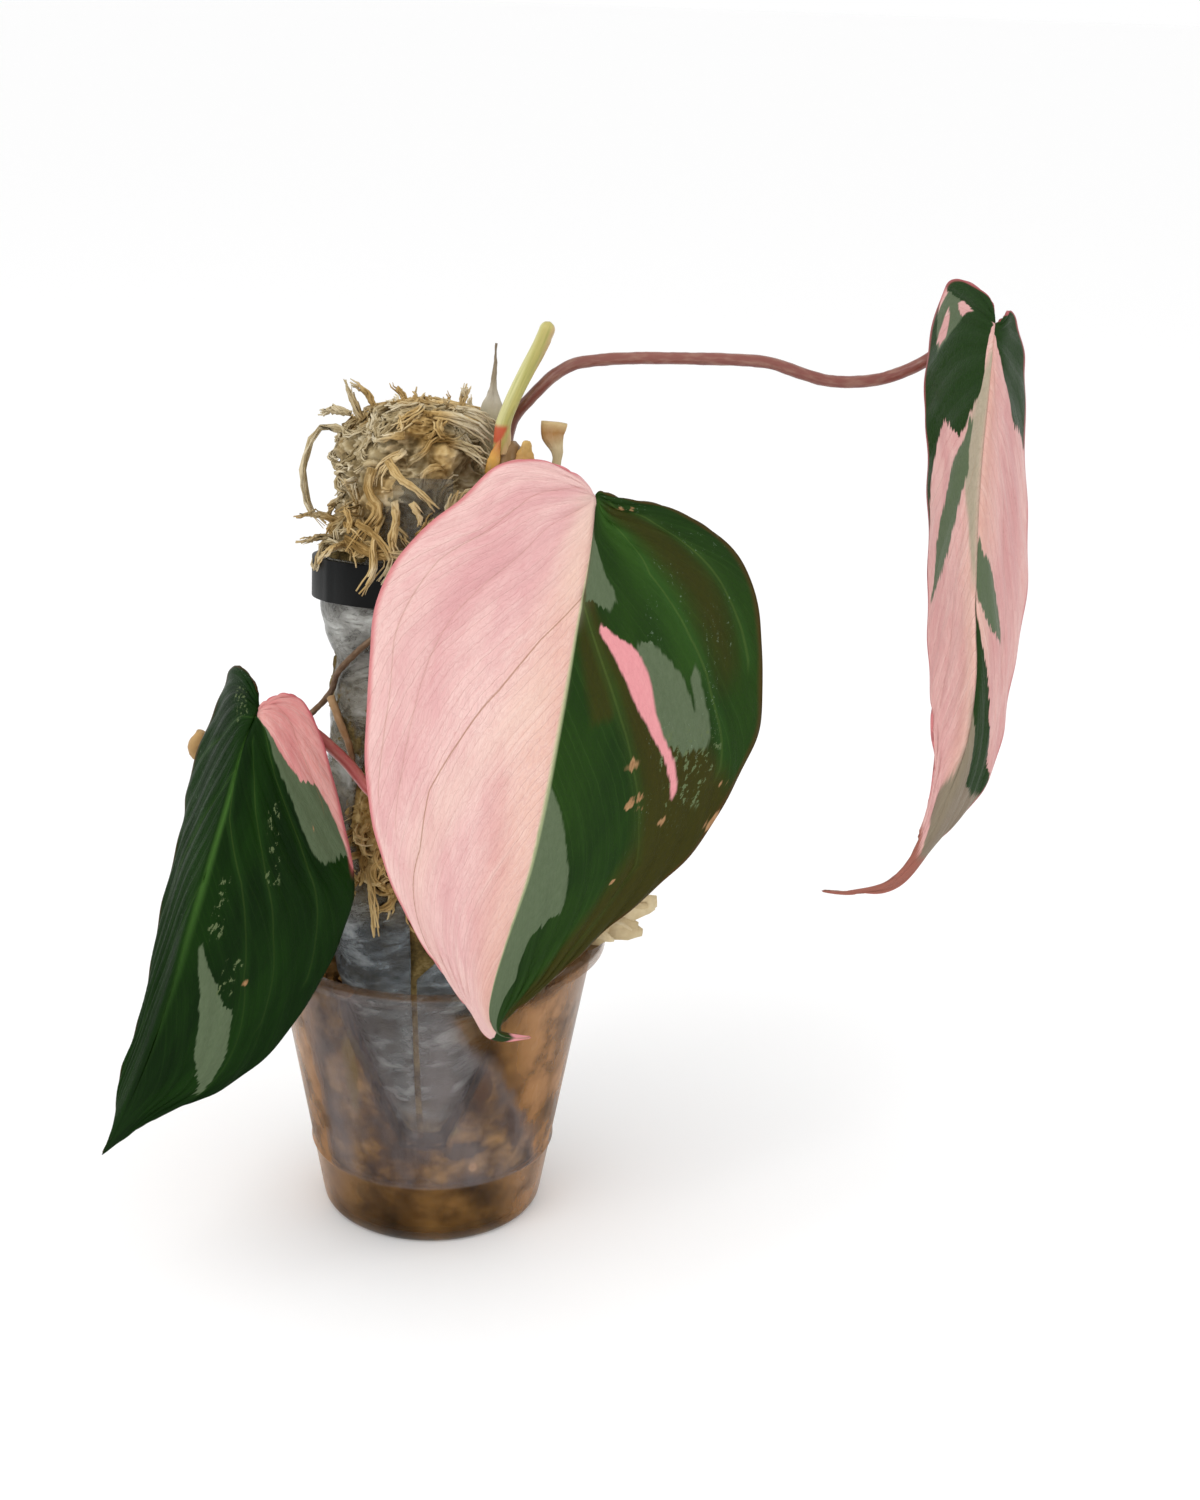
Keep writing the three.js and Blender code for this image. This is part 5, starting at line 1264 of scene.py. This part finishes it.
def mossRadius(height, degrees):
    turn = math.radians(degrees)
    if height <= 199:
        front = degrees - 360 if degrees > 180 else degrees
        left, right = between(pole["slitLeft"], height), between(pole["slitRight"], height)
        inSlit = rising(front, left + 4, left + 14) * (1 - rising(front, right - 14, right - 4))
        opened = rising(height, 100, 112) * (1 - rising(height, 176, 184))
        return filmRadius(height, degrees) - 1.35 + inSlit * opened * moss["swell"]
    lumps = 1.5 * math.sin(3 * turn + height * 0.3) + 1.2 * math.sin(7 * turn - height * 0.42)
    leanIn = 7 * rising(math.sin(turn), 0.1, 0.9) + 7.5 * rising(-math.sin(turn), 0.2, 0.95)
    return between(moss["crown"], height) + rising(height, 200, 210) * (lumps - leanIn)


def matted(point):
    # how far the moss stands out at a point: soft lumps, and ridges that meander like strands; and its tone, which is
    # painted highlight where it stands out and painted shade in its hollows
    swirled = point + noise.noise_vector(point * 0.1) * 8
    ridge = max(1 - abs(noise.noise(swirled * 0.2)) * 2.4, 0) ** 2
    fine = max(1 - abs(noise.noise(swirled * 0.47 + Vector((7, 3, 1)))) * 2.2, 0) ** 2
    lumps = noise.noise(point * 0.11)
    return 2.2 * lumps + 1.9 * ridge + 1.1 * fine, 0.12 + 0.3 * lumps + 0.34 * ridge + 0.34 * fine


def makeMatted(name, across, along, spotAt):
    # spotAt(s, t, lift) is the moss's smooth skin, and how much of the matted relief it takes
    tones = []

    def place(s, t):
        smooth, share, sink = spotAt(s, t, 0)
        stand, tone = matted(smooth)
        tones.append(tone)
        return spotAt(s, t, stand * share - sink)[0]

    piece = addGrid(name, across, along, place)
    attribute = piece.data.attributes.new("tone", "FLOAT", "POINT")
    attribute.data.foreach_set("value", tones)
    closeGrid(piece)
    return piece


def crownSkin(s, t, lift):
    return crownSpot(0.04 + 0.94 * t, 360 * s, lift), 1, 2.4


def columnSkin(s, t, lift):
    height = 36 + 165 * t
    opened = rising(height, 104, 112) * (1 - rising(height, 170, 180))
    return slitSpot(height, 360 * s, lift), 0.25 + 0.45 * opened, 0.7


class Tangle:
    # many strands gathered into one mesh, each with its own tone
    def __init__(self):
        self.points, self.faces, self.tones = [], [], []

    def strand(self, path, wide, deep, tone, facing, twist=0.0, tip=0.25, sides=4, ragged=0.25, blunt=0):
        # a ribbon with ragged sides; tip is its width at its end
        first = len(self.points)
        last = len(path) - 1
        for i, centre in enumerate(path):
            t = i / last
            along = (path[min(i + 1, last)] - path[max(i - 1, 0)]).normalized()
            across = Quaternion(along, twist * t) @ along.cross(facing).normalized()
            up = across.cross(along)
            half = wide * (1 - (1 - tip) * t ** 3) * (1 - blunt * max(t - 0.8, 0) ** 2) * chance.uniform(1 - ragged, 1 + ragged)
            for k in range(sides):
                angle = (k + 0.5) / sides * 2 * math.pi
                self.points.append(centre + across * half * math.cos(angle) + up * deep * math.sin(angle))
                self.tones.append(tone + 0.25 * (t - 0.4))
        for i in range(last):
            for k in range(sides):
                a, b = first + i * sides + k, first + i * sides + (k + 1) % sides
                self.faces.append((a, b, b + sides, a + sides))
        self.faces.append(tuple(first + k for k in reversed(range(sides))))
        self.faces.append(tuple(first + last * sides + k for k in range(sides)))

    def lock(self, guide, outward, fibres, thick, wide, tone):
        # fibres twisted together along a guide, that fray towards its end
        twist, last = chance.uniform(-3, 3), len(guide) - 1
        for _ in range(fibres):
            turn, reach = chance.uniform(0, 2 * math.pi), thick * chance.random() ** 0.6
            path = []
            for i in range(chance.randint(last * 3 // 5, last) + 1):
                along = (guide[min(i + 1, last)] - guide[max(i - 1, 0)]).normalized()
                side = along.cross(outward).normalized()
                angle, spread = turn + twist * i / last, reach * (0.6 + 0.8 * (i / last) ** 2)
                path.append(guide[i] + side * math.cos(angle) * spread
                            + side.cross(along) * math.sin(angle) * spread * 0.6 + someWay() * 0.32)
            self.strand(path, wide * chance.uniform(0.5, 1.3), 0.3, tone + chance.uniform(-0.2, 0.2), outward,
                        chance.uniform(-2, 2), 0.1, 4, 0.45)

    def piece(self, name):
        mesh = bpy.data.meshes.new(name)
        mesh.from_pydata([point * mm for point in self.points], [], self.faces)
        tones = mesh.attributes.new("tone", "FLOAT", "POINT")
        tones.data.foreach_set("value", self.tones)
        made = bpy.data.objects.new(name, mesh)
        bpy.context.collection.objects.link(made)
        select(made)
        bpy.ops.object.mode_set(mode="EDIT")
        bpy.ops.mesh.select_all(action="SELECT")
        bpy.ops.mesh.normals_make_consistent(inside=False)
        bpy.ops.object.mode_set(mode="OBJECT")
        return made


def wander(spot, unit, share, degrees, heading, length, turn, lift, steps=8):
    # a path over the skin that spot(share, degrees, lift) gives; heading 0 is straight down
    path = []
    step = length / steps
    for i in range(steps + 1):
        here = spot(share, degrees, 0)
        radius = max((spot(share, degrees + 1, 0) - here).length * 180 / math.pi, 8)
        path.append(spot(share, degrees, lift * math.sin(math.pi * (0.08 + 0.84 * i / steps)) - 0.7))
        share -= math.cos(heading) * step / unit
        degrees += math.degrees(math.sin(heading) * step / radius)
        heading += turn / steps + chance.uniform(-0.3, 0.3)
    return path


def someWay():
    return Vector((chance.uniform(-1, 1), chance.uniform(-1, 1), chance.uniform(-1, 1)))


def crownSpot(share, degrees, lift, overFilm=False):
    # share 0 is at the film's top, 1 at the middle of the crown's top, and below 0 outside the collar
    share = min(share, 0.97)
    height = between(moss["climb"], max(share, 0)) + min(share, 0) * moss["climbLength"]
    radius = mossRadius(max(min(height, 239.5), 199.1), degrees % 360) * min((1 - share) / 0.2, 1) + lift
    front = (degrees + 180) % 360 - 180
    if -34 < front < 64 and height < 223:
        radius = max(radius, 33.2) if overFilm else min(radius, 31)
    radius += rising(0.08 - share, 0, 0.08) * max(collar["outer"] + 0.7 - radius, 0)
    return polePoint(height, degrees, radius, moss["shiftX"] * rising(height, 200, 208))


def overFilmSpot(share, degrees, lift):
    return crownSpot(share, degrees, lift, True)


def slitSpot(height, degrees, lift):
    return polePoint(height, degrees, mossRadius(height, degrees % 360) + lift)


def makeMossStrands():
    tangle = Tangle()
    centre = polePoint(214, 0, 0, moss["shiftX"])
    for lock in range(moss["locks"]):
        share, degrees = 0.98 * chance.random() ** 1.1, lock * 137.5
        front = (degrees + 180) % 360 - 180
        overFilm = -66 < front < 64 and chance.random() < (0.75 if front < -8 else 0.3)
        spot = overFilmSpot if overFilm else crownSpot
        # crown locks take the tone of the matted skin under them, with its painted highlight and shade, plus a random
        # part
        stand, tone = matted(crownSpot(share, degrees, 0))
        guide = wander(spot, moss["climbLength"], max(share, 0.06), degrees, chance.uniform(-3, 3),
                       chance.uniform(7, 15), chance.uniform(-2.8, 2.8), chance.uniform(0.2, 1.8) + stand * 0.6)
        tangle.lock(guide, (guide[len(guide) // 2] - centre).normalized(), moss["inLock"], chance.uniform(0.9, 2.0),
                    chance.uniform(0.28, 0.72), tone * 0.9 + chance.uniform(-0.05, 0.4))
    for _ in range(moss["tips"]):
        # short ends that stand out of the crown
        root = crownSpot(0.96 * chance.random(), chance.uniform(0, 360), -1)
        outward = (root - centre).normalized()
        heading = (outward + someWay() * 0.8).normalized()
        bend = someWay() * 0.12
        path = [root + heading * k + bend * k * k * 0.3 for k in range(chance.randint(4, 6))]
        tangle.lock(path, outward.orthogonal(), 4, 0.8, 0.7, chance.uniform(0.3, 0.9))
    for places, width in moss["named"]:
        guide = evenPath(places, 10)
        outward = (guide[len(guide) // 2] - polePoint(guide[len(guide) // 2].z, 0, 0)).normalized()
        tangle.lock(guide, outward, 16, width * 0.8, width * 0.3, chance.uniform(0.35, 0.7))
    for lock in range(moss["slitLocks"]):
        # golden locks that come out of the slit, most of them low in it
        height = 110 + 20 * chance.random() if lock % 4 else chance.uniform(130, 164)
        left, right = between(pole["slitLeft"], height), between(pole["slitRight"], height)
        degrees = left + 5 + (right - left - 10) * chance.random() ** 1.5
        guide = wander(slitSpot, 1, height, degrees, chance.uniform(-1.4, 1.4), chance.uniform(7, 14),
                       chance.uniform(-3, 3), chance.uniform(1, 4.5) if lock % 4 else 0.6)
        outward = (guide[len(guide) // 2] - polePoint(height, 0, 0)).normalized()
        tangle.lock(guide, outward, 8, chance.uniform(0.8, 1.8), chance.uniform(0.4, 0.8), chance.uniform(0.2, 0.8))
    return tangle.piece("mossStrands")


def paintMoss(name, pale, golden, goldBelow=0.0, rough=0.92):
    paint = Paint(name)
    spots = paint.coordinates("Object")
    z = paint.split(spots)[2]
    # the tone attribute is partly random strand tone and partly painted light: lighter on the moss's ridges, darker in
    # its hollows
    tone = paint.node("ShaderNodeAttribute", {"attribute_name": "tone"}, output="Fac")
    mottled = paint.speckle(spots, 420.0, 3.0, 0.6)
    broad = paint.speckle(spots, 70.0, 3.0)
    hue = paint.speckle(paint.stretched(spots, (45, 45, 45)), 1.0, 2.0)
    mixed = tone * 0.66 + mottled * 0.34 + (broad - 0.5) * 0.6
    isGold = paint.rise(hue + (1 - paint.rise(z, goldBelow, goldBelow + 0.03)) * 0.5, 0.46, 0.6)
    colour = paint.blend(isGold, paint.ramp(mixed, pale), paint.ramp(mixed, golden))
    return paint.dress({"Base Color": colour, "Roughness": rough, "Specular IOR Level": 0.2,
                        "Normal": paint.bump(mottled, 0.0005, 0.6)})


mossPaint = paintMoss("dryMoss", [
    (0.0, tint(74, 62, 42)), (0.2, tint(112, 96, 66)), (0.38, tint(154, 136, 100)), (0.56, tint(188, 172, 138)),
    (0.78, tint(214, 202, 174)), (1.0, tint(230, 222, 202))], [
    (0.0, tint(74, 52, 24)), (0.2, tint(112, 86, 44)), (0.38, tint(148, 118, 70)), (0.56, tint(180, 150, 98)),
    (0.78, tint(206, 180, 130)), (1.0, tint(222, 202, 160))], 0.135)


def paintMossCore():
    paint = Paint("mossCoreMix")
    spots = paint.coordinates("Object")
    z = paint.split(spots)[2]
    lumps = paint.speckle(spots, 150.0, 5.0, 0.65)
    fibre = paint.speckle(paint.stretched(spots, (300, 300, 900)), 1.0, 4.0, 0.7)
    # the tone attribute is painted light: lighter on the core's ridges, darker in its hollows
    tone = paint.node("ShaderNodeAttribute", {"attribute_name": "tone"}, output="Fac")
    golden = paint.ramp(tone * 0.6 + lumps * 0.6, [
        (0.3, tint(84, 60, 26)), (0.5, tint(150, 116, 62)), (0.75, tint(206, 176, 120))])
    damp = paint.ramp(lumps, [(0.3, tint(48, 40, 24)), (0.5, tint(104, 88, 54)), (0.7, tint(164, 144, 98))])
    colour = paint.blend(1 - paint.rise(abs(z - 0.122), 0.014, 0.024), damp, golden)
    return paint.dress({"Base Color": colour, "Roughness": 0.95, "Specular IOR Level": 0.1,
                        "Normal": paint.bump(lumps + fibre, 0.0015, 0.9)})


finishPiece(makeMatted("mossCore", 130, 150, columnSkin), "sphagnum_moss", paintMossCore())
finishPiece(makeMatted("mossCrown", 250, 120, crownSkin), "sphagnum_moss", mossPaint)
finishPiece(makeMossStrands(), "sphagnum_moss", mossPaint)

tuft = {
    "hill": [(-5, 4.5), (-1.2, 6.6), (1.6, 7.2), (5, 6.6), (9, 4.6), (11.5, 2)],
    # the papery flaps' middles, half widths and widths at the end
    "flaps": [
        ([(40, -5, 88), (48, -6, 92), (55, -7, 96.2), (61, -7.4, 98.2), (65, -7, 98.6)], 3.4, 1.35),
        ([(41, -7, 86), (47, -9, 89), (53, -9.6, 92), (58, -9, 91.4), (60.6, -8.6, 90.6)], 2.9, 0.75),
        ([(40, -3, 90), (47, -3, 96), (54, -4, 99.4), (60, -5, 100.4)], 2.6, 0.8),
        ([(39, -9, 87), (45, -12.5, 90.4), (50, -13.5, 91), (53, -14, 89.6)], 2.0, 0.5),
    ],
}


def tuftSpot(lift, degrees, out):
    radius = between(tuft["hill"], lift) + out
    angle = math.radians(degrees)
    return Vector((36 + lift * 0.4 + 0.75 * radius * math.cos(angle), -6 + radius * math.sin(angle), 83.4 + lift))


def makeTuft():
    tangle = Tangle()
    for places, wide, tip in tuft["flaps"]:
        path = evenPath(places, 14)
        for k in range(3):
            lean, wave = someWay() * 0.8, chance.uniform(0, 6)
            bent = [point + lean * (i / 14) + Vector((0, 0.5, 0.3)) * math.sin(wave + i * 0.9) for i, point in
                    enumerate(path[:15 - k])]
            facing = Vector((0.15, -1, chance.uniform(-0.1, 0.6))).normalized()
            tangle.strand(bent, wide * (1.12 - 0.14 * k), 0.35, chance.uniform(0.35, 0.75), facing,
                          chance.uniform(-0.9, 0.9), tip, 6, 0.1, 12)
    for _ in range(26):
        guide = wander(tuftSpot, 1, chance.uniform(1, 10.5), chance.uniform(0, 360), chance.uniform(-1.6, 1.6),
                       chance.uniform(7, 12), chance.uniform(-2, 2), 1.2)
        tangle.lock(guide, (guide[len(guide) // 2] - Vector((37, -6, 86))).normalized(), 8, 1.5, 0.55, chance.uniform(0.3, 0.9))
    return tangle.piece("paleTuft")


def makeTuftHill():
    def place(s, t):
        lift = -5 + 16.5 * t
        return tuftSpot(lift, s * 360, 0.8 * math.sin(3 * s * 2 * math.pi + lift) - 0.7)

    piece = addGrid("tuftHeart", 40, 24, place)
    closeGrid(piece)
    return piece


paleStops = [(0.0, tint(132, 108, 70)), (0.3, tint(178, 156, 116)), (0.6, tint(206, 188, 150)),
             (1.0, tint(230, 218, 188))]
palePaint = paintMoss("paleMoss", paleStops, paleStops)
finishPiece(makeTuft(), "moss_tuft_right", palePaint)
finishPiece(makeTuftHill(), "moss_tuft_right", palePaint)
print("moss made")
